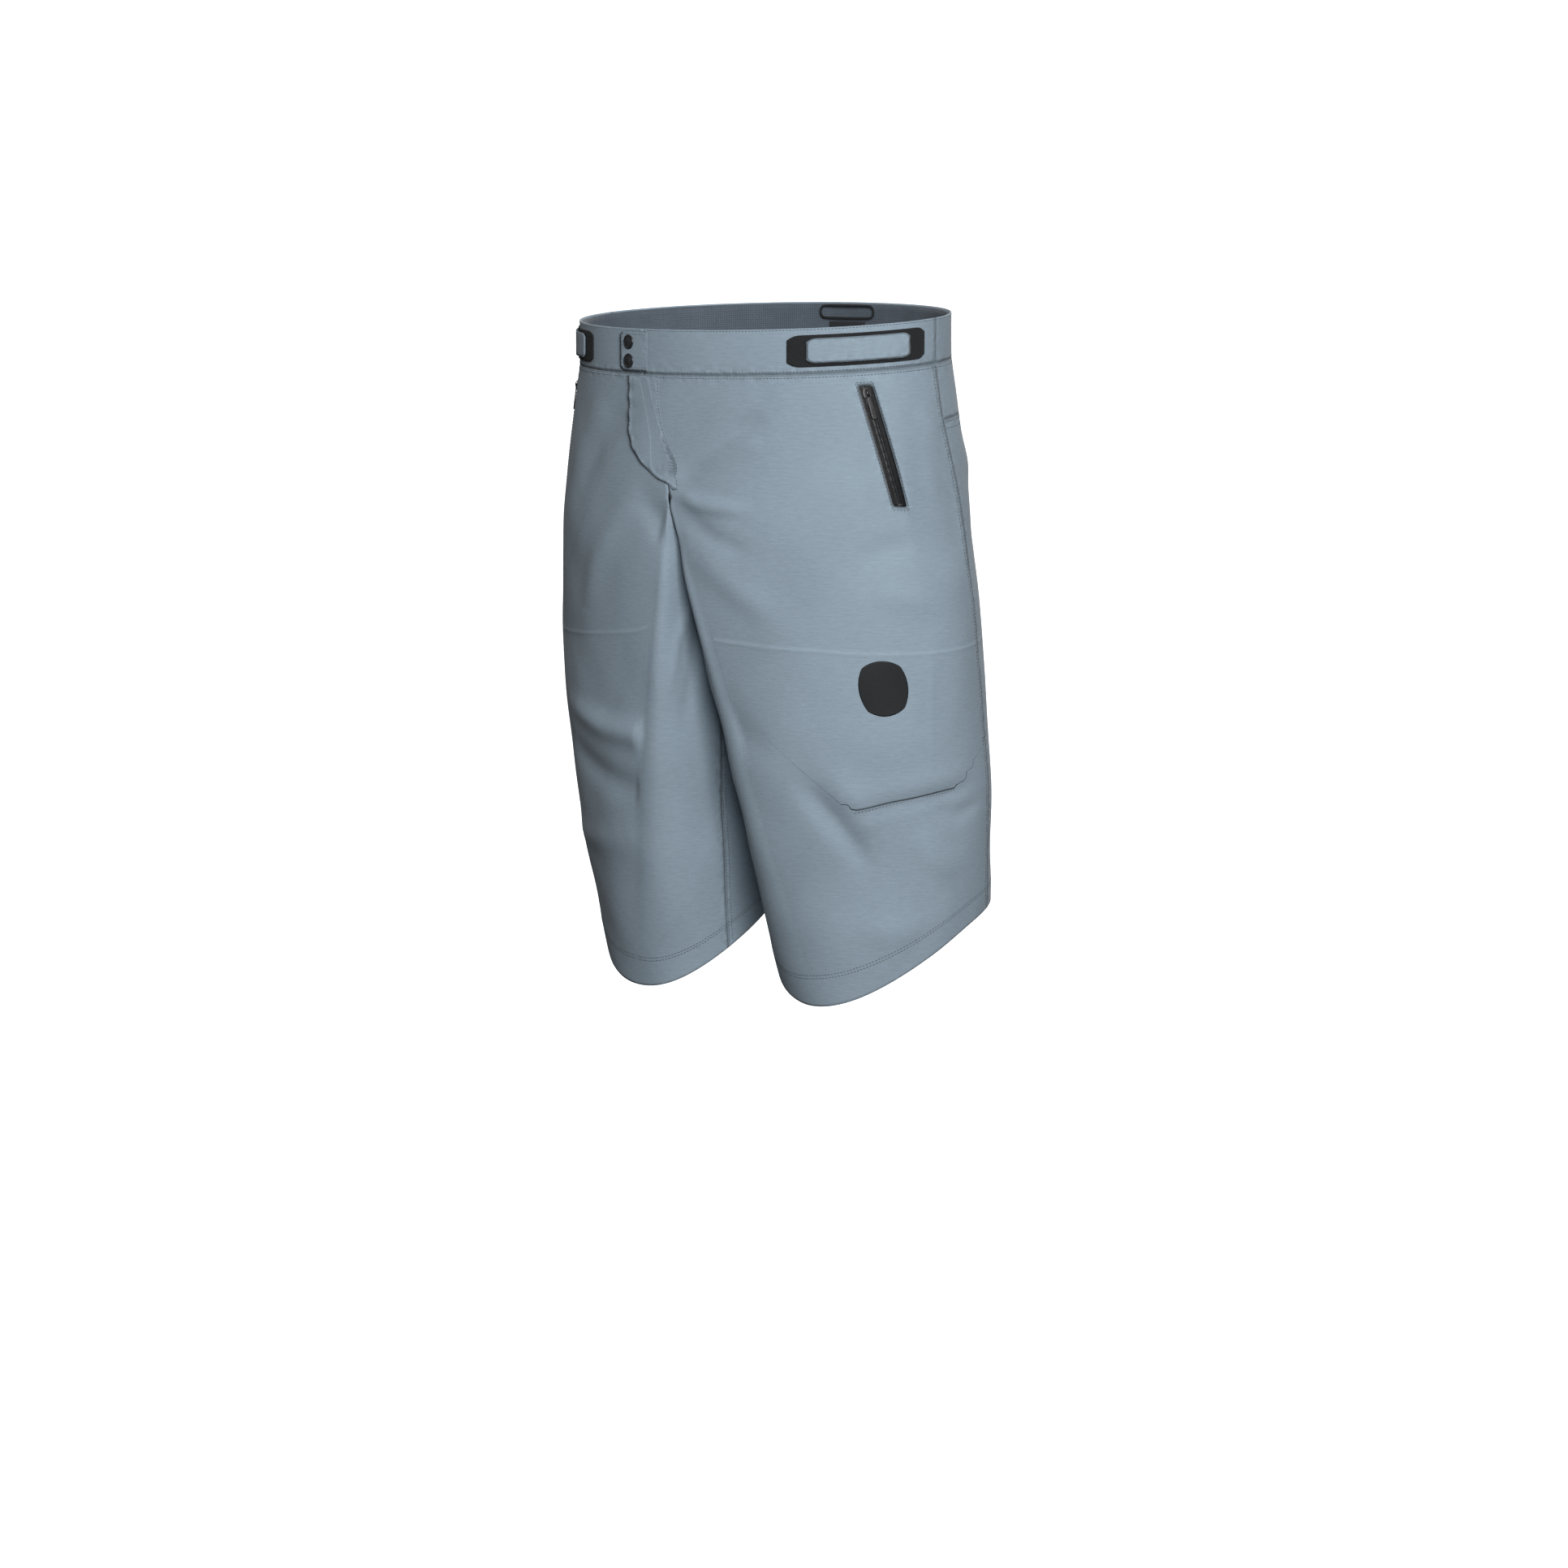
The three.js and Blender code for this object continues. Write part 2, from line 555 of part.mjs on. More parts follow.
function flyShield(frame) {
  const depth = TAPE_THICKNESS + 2 * ZIP_CLEARANCE + SLIDER_PLATE + SHIELD_THICKNESS / 2 + SHIELD_ROOM;
  const shield = box(2 * SHIELD_HALF_WIDTH, frame.length, SHIELD_THICKNESS, 0, 0, -depth);
  shield.applyMatrix4(frame.matrix);
  return shield;
}

function waistTab() {
  const depth = -(LAYER_GAP + FLAP_THICKNESS);
  return bentBlock(8, 1, FLAP_THICKNESS, (u, w) => {
    const drop = lerp(TAB_EDGE_MARGIN, BAND_HEIGHT - TAB_EDGE_MARGIN, w);
    const angle = angleAtX(lerp(TAB_SEWN_X, TAB_EDGE_X, u), 0);
    return ['left', angle, -1 + drop / BAND_HEIGHT, depth];
  });
}

// Frame of one snap: its origin on the band's outer face, z out.
function snapMatrix(drop) {
  const level = -1 + drop / BAND_HEIGHT;
  const rise = SNAP_REACH / BAND_HEIGHT;
  const place = (across, down) => cloth('left', angleAtX(SNAP_X + across, 0), level + down, 0);
  const across = place(SNAP_REACH, 0).sub(place(-SNAP_REACH, 0));
  return frameBetween(place(0, -rise), place(0, rise), across);
}

function disc(radius, from, to) {
  const cylinder = new THREE.CylinderGeometry(radius, radius, to - from, 16);
  return cylinder.rotateX(Math.PI / 2).translate(0, 0, (from + to) / 2);
}

const TAB_OUTER = LAYER_GAP + FLAP_THICKNESS;
const SNAP_SAG = 0.25;             // the tab's curve under a flat snap

function snapCap() {
  const head = disc(SNAP_RADIUS, TAB_OUTER + SNAP_SAG, TAB_OUTER + SNAP_SAG + SNAP_HEAD);
  const stem = disc(SNAP_STEM_RADIUS, SNAP_CLEARANCE, TAB_OUTER + SNAP_SAG + SNAP_JOIN);
  const socket = disc(SNAP_SOCKET_RADIUS, SNAP_CLEARANCE - SNAP_CUT, TAB_OUTER - SNAP_ROOF);
  return cut(join(head, stem), socket);
}

function snapStud() {
  const base = disc(SNAP_STEM_RADIUS, -BAND_THICKNESS - SNAP_BACK, -SNAP_BASE_SINK);
  const postRadius = SNAP_SOCKET_RADIUS - SNAP_CLEARANCE;
  const post = disc(postRadius, -SNAP_POST_ROOT, TAB_OUTER - SNAP_POST_SHORT);
  return join(base, post);
}

// ---- Assembly -----------------------------------------------------------------------
const pocketFrames = { left: pocketFrame('left'), right: pocketFrame('right') };
const fly = flyFrame();
const flySlot = slotCutter(fly, SLIDER_WIDTH + 4 * ZIP_CLEARANCE, 0, SLOT_REACH);
const snapHoles = SNAP_DROPS.map((drop) =>
  disc(SNAP_STEM_RADIUS + LAYER_GAP, -SNAP_HOLE_REACH, SNAP_HOLE_REACH)
    .applyMatrix4(snapMatrix(drop)));

for (const side of ['left', 'right']) {
  const frame = pocketFrames[side];
  const pocketSlot = slotCutter(frame, POCKET_SLOT_WIDTH, POCKET_SLOT_MARGIN, SLOT_REACH);
  add(`front_panel_${side}`, cut(frontPanel(side), pocketSlot, flySlot), CLOTH());
  add(`back_panel_${side}`, backPanel(side), CLOTH());
  add(`hem_facing_${side}`, hemFacing(side), CLOTH());
  addZip(`pocket_zip_${side}`, frame, POCKET_SLIDER_SPOT);
  add(`pocket_bag_${side}`, pocketBag(side), LINING());
}
add('back_yoke', backYoke(), CLOTH());

// The band is three lengths, sewn at the side seams and open along the fly's line.
const opening = angleAtX(FLY_TOP_X, 0);
const bandSeam = SIDE_SEAM_TOP_ANGLE;
const bandHeight = BAND_HEIGHT - SEAM_GAP;
const outerBand = (start, end, columns) => band(start, end, 0, bandHeight, BAND_THICKNESS, 0, columns);
const bandLeft = outerBand(opening + gapAngle, bandSeam - gapAngle, 12);
const bandRight = outerBand(opening - gapAngle, -180 - bandSeam + gapAngle, 12);
const bandBack = outerBand(bandSeam + gapAngle, 180 - bandSeam - gapAngle, 22);
add('waistband_front_left', bandLeft, CLOTH());
add('waistband_front_right', cut(bandRight, ...snapHoles), CLOTH());
add('waistband_back', bandBack, CLOTH());
const liningDepth = BAND_THICKNESS + LAYER_GAP + LINING_ROOM;
const liningStart = opening + LINING_END_ANGLE;
const liningEnd = opening + 360 - LINING_END_ANGLE;
const liningHeight = bandHeight - 2 * LINING_MARGIN;
add('waistband_lining',
  band(liningStart, liningEnd, LINING_MARGIN, liningHeight, LINING_THICKNESS, liningDepth, 30), LINING());

add('fly_flap', flyFlap(), CLOTH());
add('fly_shield', flyShield(fly), LINING());
addZip('fly_zip', fly, FLY_SLIDER_SPOT);
add('waist_tab', cut(waistTab(), ...snapHoles), CLOTH());
for (const [i, name] of ['upper', 'lower'].entries()) {
  const matrix = snapMatrix(SNAP_DROPS[i]);
  add(`snap_cap_${name}`, snapCap().applyMatrix4(matrix), SNAP_METAL());
  add(`snap_stud_${name}`, snapStud().applyMatrix4(matrix), SNAP_METAL());
}

// Waist adjusters: a hook tab that slides round the band over a sewn patch of loop tape.
function bandPatch(side, patch, depth) {
  const drop = (BAND_HEIGHT - patch.height) / 2;
  return bentBlock(8, 1, patch.thickness, (u, w) => {
    const level = -1 + (drop + patch.height * w) / BAND_HEIGHT;
    return [side, lerp(patch.frontAngle, patch.rearAngle, u), level, depth];
  });
}

for (const side of ['left', 'right']) {
  const loopDepth = -(LAYER_GAP + ADJUSTER_LOOP.thickness);
  const tabDepth = loopDepth - ADJUSTER_CLEARANCE - ADJUSTER.thickness;
  add(`adjuster_loop_${side}`, bandPatch(side, ADJUSTER_LOOP, loopDepth), HOOK_TAPE());
  add(`adjuster_tab_${side}`, bandPatch(side, ADJUSTER, tabDepth), CLOTH());
}

// A plain printed device on the wearer's left thigh: a raised rounded shield.
function thighPrint() {
  const centre = cloth('left', PRINT.angle, PRINT.level, 0);
  const across = cloth('left', PRINT.angle + 1, PRINT.level, 0).distanceTo(centre);
  const down = cloth('left', PRINT.angle, PRINT.level + 0.01, 0).distanceTo(centre) / 0.01;
  return bentBlock(6, 6, PRINT.thickness, (u, w) => {
    const x = 2 * u - 1;
    const y = 2 * w - 1;
    const round = Math.sqrt(1 - 0.42 * y * y);
    const tall = Math.sqrt(1 - 0.42 * x * x);
    const angle = PRINT.angle + (x * round * PRINT.width) / 2 / across;
    const level = PRINT.level + (y * tall * PRINT.height) / 2 / down;
    return ['left', angle, level, -(LAYER_GAP + PRINT.thickness)];
  });
}
add('thigh_print', thighPrint(), INK());

// Inside the back of the band: a hanging loop and a blank label below it.
const innerFace = liningDepth + LINING_THICKNESS + LAYER_GAP;
const backInside = cloth('left', 90, -0.5, innerFace);

function hangerLoop() {
  const half = HANGER.width / 2;
  const inner = HANGER.radius - HANGER.strap;
  const outline = new THREE.Shape();
  outline.absarc(-half, 0, HANGER.radius, Math.PI / 2, Math.PI * 1.5, false);
  outline.absarc(half, 0, HANGER.radius, -Math.PI / 2, Math.PI / 2, false);
  const opening = new THREE.Path();
  opening.absarc(half, 0, inner, Math.PI / 2, -Math.PI / 2, true);
  opening.absarc(-half, 0, inner, Math.PI * 1.5, Math.PI / 2, true);
  outline.holes.push(opening);
  const options = { depth: HANGER.thickness, bevelEnabled: false, curveSegments: 6 };
  return new THREE.ExtrudeGeometry(outline, options).rotateX(Math.PI / 2);
}
const hanger = add('hanger_loop', hangerLoop(), HOOK_TAPE());
hanger.position.set(0, backInside.y - HANGER.clear, BACK_RISE - HANGER.drop);

const label = add('blank_label', box(LABEL.width, LABEL.thickness, LABEL.height, 0, 0, 0), LINING());
label.position.set(0, backInside.y - LABEL.clear, BACK_RISE - LABEL.drop);

export default object;
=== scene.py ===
"""Over-shorts in worn shape: cloth panels, zips, snaps, stitches, stage and camera."""
import json
import math

import bmesh
import bpy
import numpy as np
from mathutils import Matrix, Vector


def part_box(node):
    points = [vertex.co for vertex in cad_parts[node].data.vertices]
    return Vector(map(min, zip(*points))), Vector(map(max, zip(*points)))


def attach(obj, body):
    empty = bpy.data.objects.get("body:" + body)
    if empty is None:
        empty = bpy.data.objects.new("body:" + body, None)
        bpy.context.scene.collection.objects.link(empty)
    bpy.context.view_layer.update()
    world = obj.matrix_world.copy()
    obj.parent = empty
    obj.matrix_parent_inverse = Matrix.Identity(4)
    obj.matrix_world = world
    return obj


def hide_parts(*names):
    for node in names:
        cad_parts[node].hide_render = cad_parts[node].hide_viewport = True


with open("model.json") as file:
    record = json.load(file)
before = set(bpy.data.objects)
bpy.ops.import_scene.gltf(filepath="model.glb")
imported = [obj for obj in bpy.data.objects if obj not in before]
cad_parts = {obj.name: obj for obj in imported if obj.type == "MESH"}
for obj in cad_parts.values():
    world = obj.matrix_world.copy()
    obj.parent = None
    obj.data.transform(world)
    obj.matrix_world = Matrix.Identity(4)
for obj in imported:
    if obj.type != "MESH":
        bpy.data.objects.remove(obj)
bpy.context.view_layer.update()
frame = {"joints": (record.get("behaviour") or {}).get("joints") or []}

bl_info = {
    "name": "Trail Over-Shorts",
    "version": (1, 0, 0),
    "blender": (4, 5, 0),
    "location": "3D View > Sidebar > Shorts",
    "description": "Makes a pair of zip-pocket over-shorts, sewn from panels, in worn shape",
    "category": "Add Mesh",
}

MM = 0.001
LEFT = "left"
RIGHT = "right"
SIDES = (LEFT, RIGHT)
HAND = {LEFT: 1.0, RIGHT: -1.0}


# ---- Sizes and colours a user would change ---------------------------------------------
def length(name, description, millimetres):
    """A size property shown in scene units."""
    return bpy.props.FloatProperty(
        name=name, description=description, default=millimetres * MM,
        subtype="DISTANCE", unit="LENGTH", precision=4,
    )


def colour(name, description, value):
    """A colour property, linear."""
    return bpy.props.FloatVectorProperty(
        name=name, description=description, default=value,
        subtype="COLOR", size=3, min=0.0, max=1.0,
    )


def ratio(name, description, value):
    """A plain number property."""
    return bpy.props.FloatProperty(name=name, description=description, default=value)


class ShortsCut(bpy.types.PropertyGroup):
    """The cut of the cloth: half widths, rises and lines."""

    waist_width: length("Waist half width", "Half the width at the band", 188)
    waist_depth: length("Waist half depth", "Half the depth at the band", 133)
    hip_width: length("Hip half width", "Half the width where the legs begin", 213)
    hip_depth: length("Hip half depth", "Half the depth where the legs begin", 137)
    back_rise: length("Back rise", "How far the back of the band stands above the front", 20)
    band: length("Band height", "Height of the waistband", 40)
    fork_front: length("Fork, front", "Height of the hip line in front", -145)
    fork_back: length("Fork, back", "Height of the hip line behind", -138)
    fork_side: length("Fork side drop", "How far the hip line dips at the sides", 35)
    crotch_drop: length("Crotch drop", "How far the crotch hangs below the hip line", 66)
    hem_front: length("Hem, front", "Height of the hem in front", -606)
    hem_back: length("Hem rise, back", "How far the hem rises behind", 84)
    hem_outer: length("Hem rise, outside", "How far the hem rises at the outside", 72)
    hem_inner: length("Hem rise, inside", "How far the hem rises at the inside", 60)
    cloth: length("Cloth", "Thickness of the shell cloth", 0.9)


class ShortsFolds(bpy.types.PropertyGroup):
    """How strongly the cloth creases."""

    fold: ratio("Folds", "Strength of the drag folds", 1.7)
    wave: length("Waves", "Height of the soft unevenness of the cloth", 1.5)
    stitch: length("Stitch", "Length of one stitch", 2.1)
    pitch: length("Stitch pitch", "From one stitch to the next", 3.1)


class ShortsColours(bpy.types.PropertyGroup):
    """Colours of the finishes, linear."""

    shell: colour("Shell", "The stretch cloth", (0.260, 0.330, 0.392))
    lining: colour("Lining", "The mesh lining", (0.085, 0.105, 0.13))
    coated: colour("Zip tape", "The coated zip tape", (0.011, 0.012, 0.0135))
    metal: colour("Zip metal", "Painted slider and stops", (0.02, 0.02, 0.022))
    snap: colour("Snap metal", "Gunmetal plating", (0.085, 0.088, 0.094))
    webbing: colour("Webbing", "Hook tape and hanging loop", (0.016, 0.017, 0.019))
    ink: colour("Print", "Transfer print", (0.006, 0.008, 0.010))
    thread: colour("Thread", "Sewing thread", (0.075, 0.097, 0.122))
    floor: colour("Floor", "Studio floor and backdrop", (0.86, 0.86, 0.86))


def cut():
    """The cut settings of the scene."""
    return bpy.context.scene.shorts_cut


def folds():
    """The fold settings of the scene."""
    return bpy.context.scene.shorts_folds


def colours():
    """The colour settings of the scene."""
    return bpy.context.scene.shorts_colours


# ---- Fixed proportions of the pattern --------------------------------------------------
FORK = 1.0
HEM = 2.0
LEGS = {
    LEFT: dict(x=0.114, y=0.033, long=0.097, short=0.095, full=0.007),
    RIGHT: dict(x=0.108, y=0.030, long=0.112, short=0.082, full=0.012),
}
LEG_TURN = 52.0
INSEAM = 207.0
SEAM_TOP_ANGLE = 4.0
SEAM_HEM_ANGLE = 20.0
YOKE_LEVEL = 0.34
BODY_HEIGHT = 0.115
LEG_HEIGHT = 0.43
HEM_FACING = 0.028
ZIP_TOP = (-29.8, 0.07)
ZIP_BOTTOM = (-21.6, 0.87)
SLOT_LEVELS = (0.091, 0.849)
SLOT_HALF = 0.0063
SLOT_SPREAD = 0.14
SLOT_ROUND = 0.148
# Metres round the cloth to a radian, at the hip line and at the hem: for folds, then for stitches.
FOLD_ROUND = (0.158, 0.104)
STITCH_ROUND = (0.152, 0.100)
ZIP_STIFF_DEGREES = 7.0
TAPE_LIFT = -0.00125
FLY_X = (-0.034, -0.003)
FLY_LEVELS = (0.03, 0.84)
FLY_HALF = 0.0052
FLAP = dict(stitch=-0.015, edge=-0.052, tip=0.008, top=0.01, bottom=0.95)
TAB = dict(sewn=-0.027, end=-0.064, margin=0.002)
SNAP_X = -0.051
SNAP_DROPS = (0.012, 0.029)
PRINT = dict(angle=-36.0, level=1.36, width=0.044, height=0.050)
BAG = dict(front=-64.0, rear=-4.0, top=0.012, bottom=1.34, full=0.012)
ADJUSTER = dict(front=-48.0, rear=-12.0, height=0.022, lift=0.0022)
ADJUSTER_LOOP = dict(front=-54.0, rear=-4.0, height=0.028, lift=0.0004)


def mix(a, b, share):
    """a at share 0, b at share 1, in a straight line."""
    return a + (b - a) * share


def step(low, high, value):
    """0 below low, 1 above high, and a smooth S between."""
    t = np.clip((value - low) / (high - low), 0.0, 1.0)
    return t * t * (3.0 - 2.0 * t)


def unit(vectors):
    """Each vector divided by its own length."""
    return vectors / np.maximum(np.linalg.norm(vectors, axis=-1, keepdims=True), 1e-12)


def sine_cosine(angle):
    """Sine and cosine of degrees."""
    turn = np.radians(angle)
    return np.sin(turn), np.cos(turn)


def body_point(angle, level):
    """The shell above the legs: an ellipse that grows from the waist to the hip line.

    Height runs from the tilted band edge (level -1) through its seam (0) to the hip line (1).
    """
    c = cut()
    sine, cosine = sine_cosine(angle)
    seam = c.back_rise * (0.5 + 0.5 * sine) - c.band
    middle = 0.5 * (c.fork_front + c.fork_back)
    hip = middle + 0.5 * (c.fork_back - c.fork_front) * sine - c.fork_side * np.abs(cosine)
    down = np.clip(level, 0.0, 1.0)
    height = np.where(level < 0.0, seam - c.band * level, mix(seam, hip, down))
    width = mix(c.waist_width, c.hip_width, down)
    depth = mix(c.waist_depth, c.hip_depth, down)
    return np.stack([width * cosine, depth * sine, height + 0.0 * down], -1)


def hem_height(sine, cosine):
    """The hem's height round the leg: a tilted saddle, low in front."""
    c = cut()
    tilt = 0.5 * c.hem_back
    saddle = 0.5 * (c.hem_outer + c.hem_inner) - tilt
    return (
        c.hem_front + tilt * (1.0 + sine) + saddle * cosine * cosine
        + 0.5 * (c.hem_outer - c.hem_inner) * cosine
    )


def leg_point(side, angle, level):
    """A leg of the shell: straight lines from half the hip line and the crotch curve to the hem.

    A bow that is widest halfway down gives it fullness. The right leg mirrors x.
    """
    c = cut()
    leg = LEGS[side]
    sine, cosine = sine_cosine(angle)
    down = np.clip(level - 1.0, 0.0, 1.0)
    outward = np.clip(cosine, 0.0, None)
    inward = np.clip(-cosine, 0.0, None)
    fork = 0.5 * (c.fork_front + c.fork_back) + 0.5 * (c.fork_back - c.fork_front) * sine
    fork = fork - c.fork_side * outward - c.crotch_drop * inward**0.7
    turn = math.radians(LEG_TURN)
    around = np.radians(angle) - turn
    along = leg["long"] * np.cos(around)
    across = leg["short"] * np.sin(around)
    hem_x = leg["x"] + along * math.cos(turn) - across * math.sin(turn)
    hem_y = leg["y"] + along * math.sin(turn) + across * math.cos(turn)
    bow = leg["full"] * 4.0 * down * (1.0 - down)
    x = mix(c.hip_width * outward, hem_x, down) + bow * np.clip(cosine + 0.2, 0.0, 1.2)
    y = mix(c.hip_depth * sine, hem_y, down) - bow * np.clip(-sine, 0.0, None)
    z = mix(fork, hem_height(sine, cosine), down)
    return np.stack([HAND[side] * np.maximum(x, 0.0002), y, z], -1)


def angle_at(x, level):
    """The front angle at which the shell above the legs has that x."""
    width = mix(cut().waist_width, cut().hip_width, np.clip(level, 0.0, 1.0))
    return -np.degrees(np.arccos(x / width))


def opening_x(level):
    """The front opening's line: it slants from the band towards the middle."""
    above = mix(FLY_X[0], FLY_X[1], np.clip(level / FLY_LEVELS[1], 0.0, 1.0))
    below = (level - FLY_LEVELS[1]) / (1.0 - FLY_LEVELS[1])
    return np.where(below > 0.0, mix(FLY_X[1], 0.0, np.clip(below, 0.0, 1.0)), above)


def side_seam(level):
    """The side seam's angle: it swings back towards the hem."""
    return mix(SEAM_TOP_ANGLE, SEAM_HEM_ANGLE, np.clip((level - 0.3) / 1.7, 0.0, 1.0))


def zip_angle(level):
    """The pocket zip's angle down its slanted line, and on down the leg."""
    share = (np.clip(level, 0.0, 1.0) - ZIP_TOP[1]) / (ZIP_BOTTOM[1] - ZIP_TOP[1])
    return mix(ZIP_TOP[0], ZIP_BOTTOM[0], share) + 4.0 * np.clip(level - 1.0, 0.0, 1.0)


def slot_half(level):
    """Half the width of the pocket's slot in degrees: a little wider towards its lower end."""
    wide = SLOT_HALF * (1.0 + SLOT_SPREAD * np.clip(level, 0.0, 1.0))
    return np.degrees(wide / SLOT_ROUND)


# ---- The whole shell as one net of points ----------------------------------------------
FRONT_COLUMNS = 40
SLOT_COLUMNS = 4
SIDE_COLUMNS = 8
BACK_COLUMNS = 50
HALF = FRONT_COLUMNS + SLOT_COLUMNS + SIDE_COLUMNS + BACK_COLUMNS
SEAM_COLUMN = FRONT_COLUMNS + SLOT_COLUMNS + SIDE_COLUMNS
INSEAM_COLUMNS = (28, 18)
BODY_LEVELS = np.concatenate([
    np.linspace(-1.0, -0.06, 8), [-0.025, 0.0, 0.01, 0.035, 0.065, SLOT_LEVELS[0]],
    np.linspace(0.125, 0.31, 6), [0.33, YOKE_LEVEL, 0.35],
    np.linspace(0.385, 0.825, 12), [SLOT_LEVELS[1]], np.linspace(0.875, 0.988, 5), [FORK],
])
LEG_LEVELS = np.concatenate([
    [FORK, 1.008, 1.018], np.linspace(1.03, 1.925, 82), [1.932, 1.938, 1.944],
    np.linspace(1.955, 2.0, 5),
])


def shares(count, start_fine=False, end_fine=False):
    """count steps from 0 to 1; a fine end has two narrow steps for a seam's groove."""
    fine = [0.006, 0.018]
    start = fine if start_fine else []
    end = [1.0 - f for f in reversed(fine)] if end_fine else []
    low = start[-1] if start else 0.0
    high = end[0] if end else 1.0
    middle = np.linspace(low, high, count + 1 - len(start) - len(end))
    before = [0.0, *start[:-1]] if start else []
    after = [*end[1:], 1.0] if end else []
    return np.concatenate([before, middle, after])


def half_angles(side, level):
    """Angles of one row from the front opening round the outside to the middle of the back.

    Columns keep to the zip slot's edges and to the side seam at every level.
    """
    level = level[:, None]
    gap = FLY_HALF * step(0.0, 0.03, level) * (1.0 - step(0.84, 0.88, level)) + 0.0002
    gap = gap * (level < FORK)
    front = angle_at(HAND[side] * opening_x(level), level) + np.degrees(gap / 0.19)
    middle = zip_angle(level)
    half = slot_half(level)
    seam = side_seam(level)
    parts = [
        mix(front, middle - half, shares(FRONT_COLUMNS)[None, :-1]),
        mix(middle - half, middle + half, np.linspace(0, 1, SLOT_COLUMNS + 1)[None, :-1]),
        mix(middle + half, seam, shares(SIDE_COLUMNS, end_fine=True)[None, :-1]),
        mix(seam, 90.0, shares(BACK_COLUMNS, start_fine=True)[None, :]),
    ]
    return np.concatenate(parts, 1)


def inner_angles():
    """Angles of the inside of the leg, from the middle of the back to the middle of the front."""
    back = mix(90.0, INSEAM, shares(INSEAM_COLUMNS[0], end_fine=True))
    front = mix(INSEAM, 270.0, shares(INSEAM_COLUMNS[1], start_fine=True))
    return np.concatenate([back[1:-1], front[:-1]])


class Net:
    """A grid of points of the shell: their numbers, angles and levels, on one side."""

    def __init__(self, side, index, angle, level):
        self.side = side
        self.index = index
        self.angle = angle
        self.level = level

    def along(self, values):
        """The values of all the points, laid out on this grid."""
        return values[self.index]


class Shell:
    """The whole shell: two body nets and two leg nets that share their common points."""

    def __init__(self):
        self.nets = {}
        places = []
        count = 0
        body_rows = len(BODY_LEVELS)
        for side in SIDES:
            angle = half_angles(side, BODY_LEVELS)
            level = np.repeat(BODY_LEVELS[:, None], HALF + 1, 1)
            index = count + np.arange(body_rows * (HALF + 1)).reshape(body_rows, HALF + 1)
            point = body_point(angle, level) * [HAND[side], 1.0, 1.0]
            if side == RIGHT:
                index = count + np.arange(body_rows * HALF).reshape(body_rows, HALF)
                index = np.concatenate([index, self.nets["body", LEFT].index[:, -1:]], 1)
                point = point[:, :-1]
            places.append(point.reshape(-1, 3))
            count += len(places[-1])
            self.nets["body", side] = Net(side, index, angle, level)
        inner = inner_angles()
        crotch = count + np.arange(len(inner))
        places.append(leg_point(LEFT, inner, np.full(len(inner), FORK)) * [0.0, 1.0, 1.0])
        count += len(inner)
        rows = len(LEG_LEVELS)
        ring = HALF + 1 + len(inner)
        for side in SIDES:
            outer = half_angles(side, LEG_LEVELS)
            inside = np.repeat(inner[None, :], rows, 0)
            angle = np.concatenate([outer, inside], 1)
            level = np.repeat(LEG_LEVELS[:, None], ring, 1)
            index = count + np.arange((rows - 1) * ring).reshape(rows - 1, ring)
            first = np.concatenate([self.nets["body", side].index[-1], crotch])
            point = leg_point(side, angle[1:], level[1:])
            places.append(point.reshape(-1, 3))
            count += len(places[-1])
            index = np.concatenate([first[None, :], index], 0)
            index = np.concatenate([index, index[:, :1]], 1)
            angle = np.concatenate([angle, np.full((rows, 1), 270.0)], 1)
            level = np.concatenate([level, LEG_LEVELS[:, None]], 1)
            self.nets["leg", side] = Net(side, index, angle, level)
        self.point = np.concatenate(places)
        self.quads = {key: self.quads_of(net) for key, net in self.nets.items()}

    def quads_of(self, net):
        """The four corner numbers of each cell, in outward order."""
        i = net.index
        cells = np.stack([i[:-1, :-1], i[1:, :-1], i[1:, 1:], i[:-1, 1:]], -1)
        return cells if net.side == LEFT else cells[..., ::-1]

    def all_quads(self):
        """Every cell of every net as one list."""
        return np.concatenate([q.reshape(-1, 4) for q in self.quads.values()])

    def relax(self, weight, slide, rounds):
        """Moves each point towards the mean of its neighbours, by its weight, again and again.

        The part of the move that lies in the surface is scaled by slide, so seams keep their lines.
        """
        quads = self.all_quads()
        ends = np.concatenate([quads[:, [k, (k + 1) % 4]] for k in range(4)])
        ends = np.unique(np.sort(ends, 1), axis=0)
        both = np.concatenate([ends, ends[:, ::-1]])
        total = len(self.point)
        degree = np.bincount(both[:, 0], minlength=total)[:, None]
        for _ in range(rounds):
            away = self.point[both[:, 1]]
            mean = np.stack([np.bincount(both[:, 0], away[:, k], total) for k in range(3)], -1)
            move = mean / degree - self.point
            normal = self.normals()
            outward = normal * (normal * move).sum(1, keepdims=True)
            move = outward + slide[:, None] * (move - outward)
            self.point = self.point + weight[:, None] * move

    def normals(self):
        """Each point's outward direction: the sum of its cells' diagonal cross products."""
        quads = self.all_quads()
        a, b, c, d = (self.point[quads[:, k]] for k in range(4))
        face = np.cross(c - a, d - b)
        total = len(self.point)
        found = np.zeros((total, 3))
        for k in range(3):
            found[:, k] = np.bincount(quads.ravel(), np.repeat(face[:, k], 4), total)
        left = self.nets["body", LEFT].index[:, 0]
        right = self.nets["body", RIGHT].index[:, 0]
        shut = (BODY_LEVELS > 0.88) | (BODY_LEVELS <= 0.0)
        both = found[left[shut]] + found[right[shut]]
        found[left[shut]] = both
        found[right[shut]] = both
        return unit(found)

    def spread(self, function, start=0.0):
        """One value a point from a function of side, angle and level, taken on every net."""
        values = np.full(len(self.point), start)
        for net in self.nets.values():
            values[net.index] = function(net.side, net.angle, net.level)
        return values


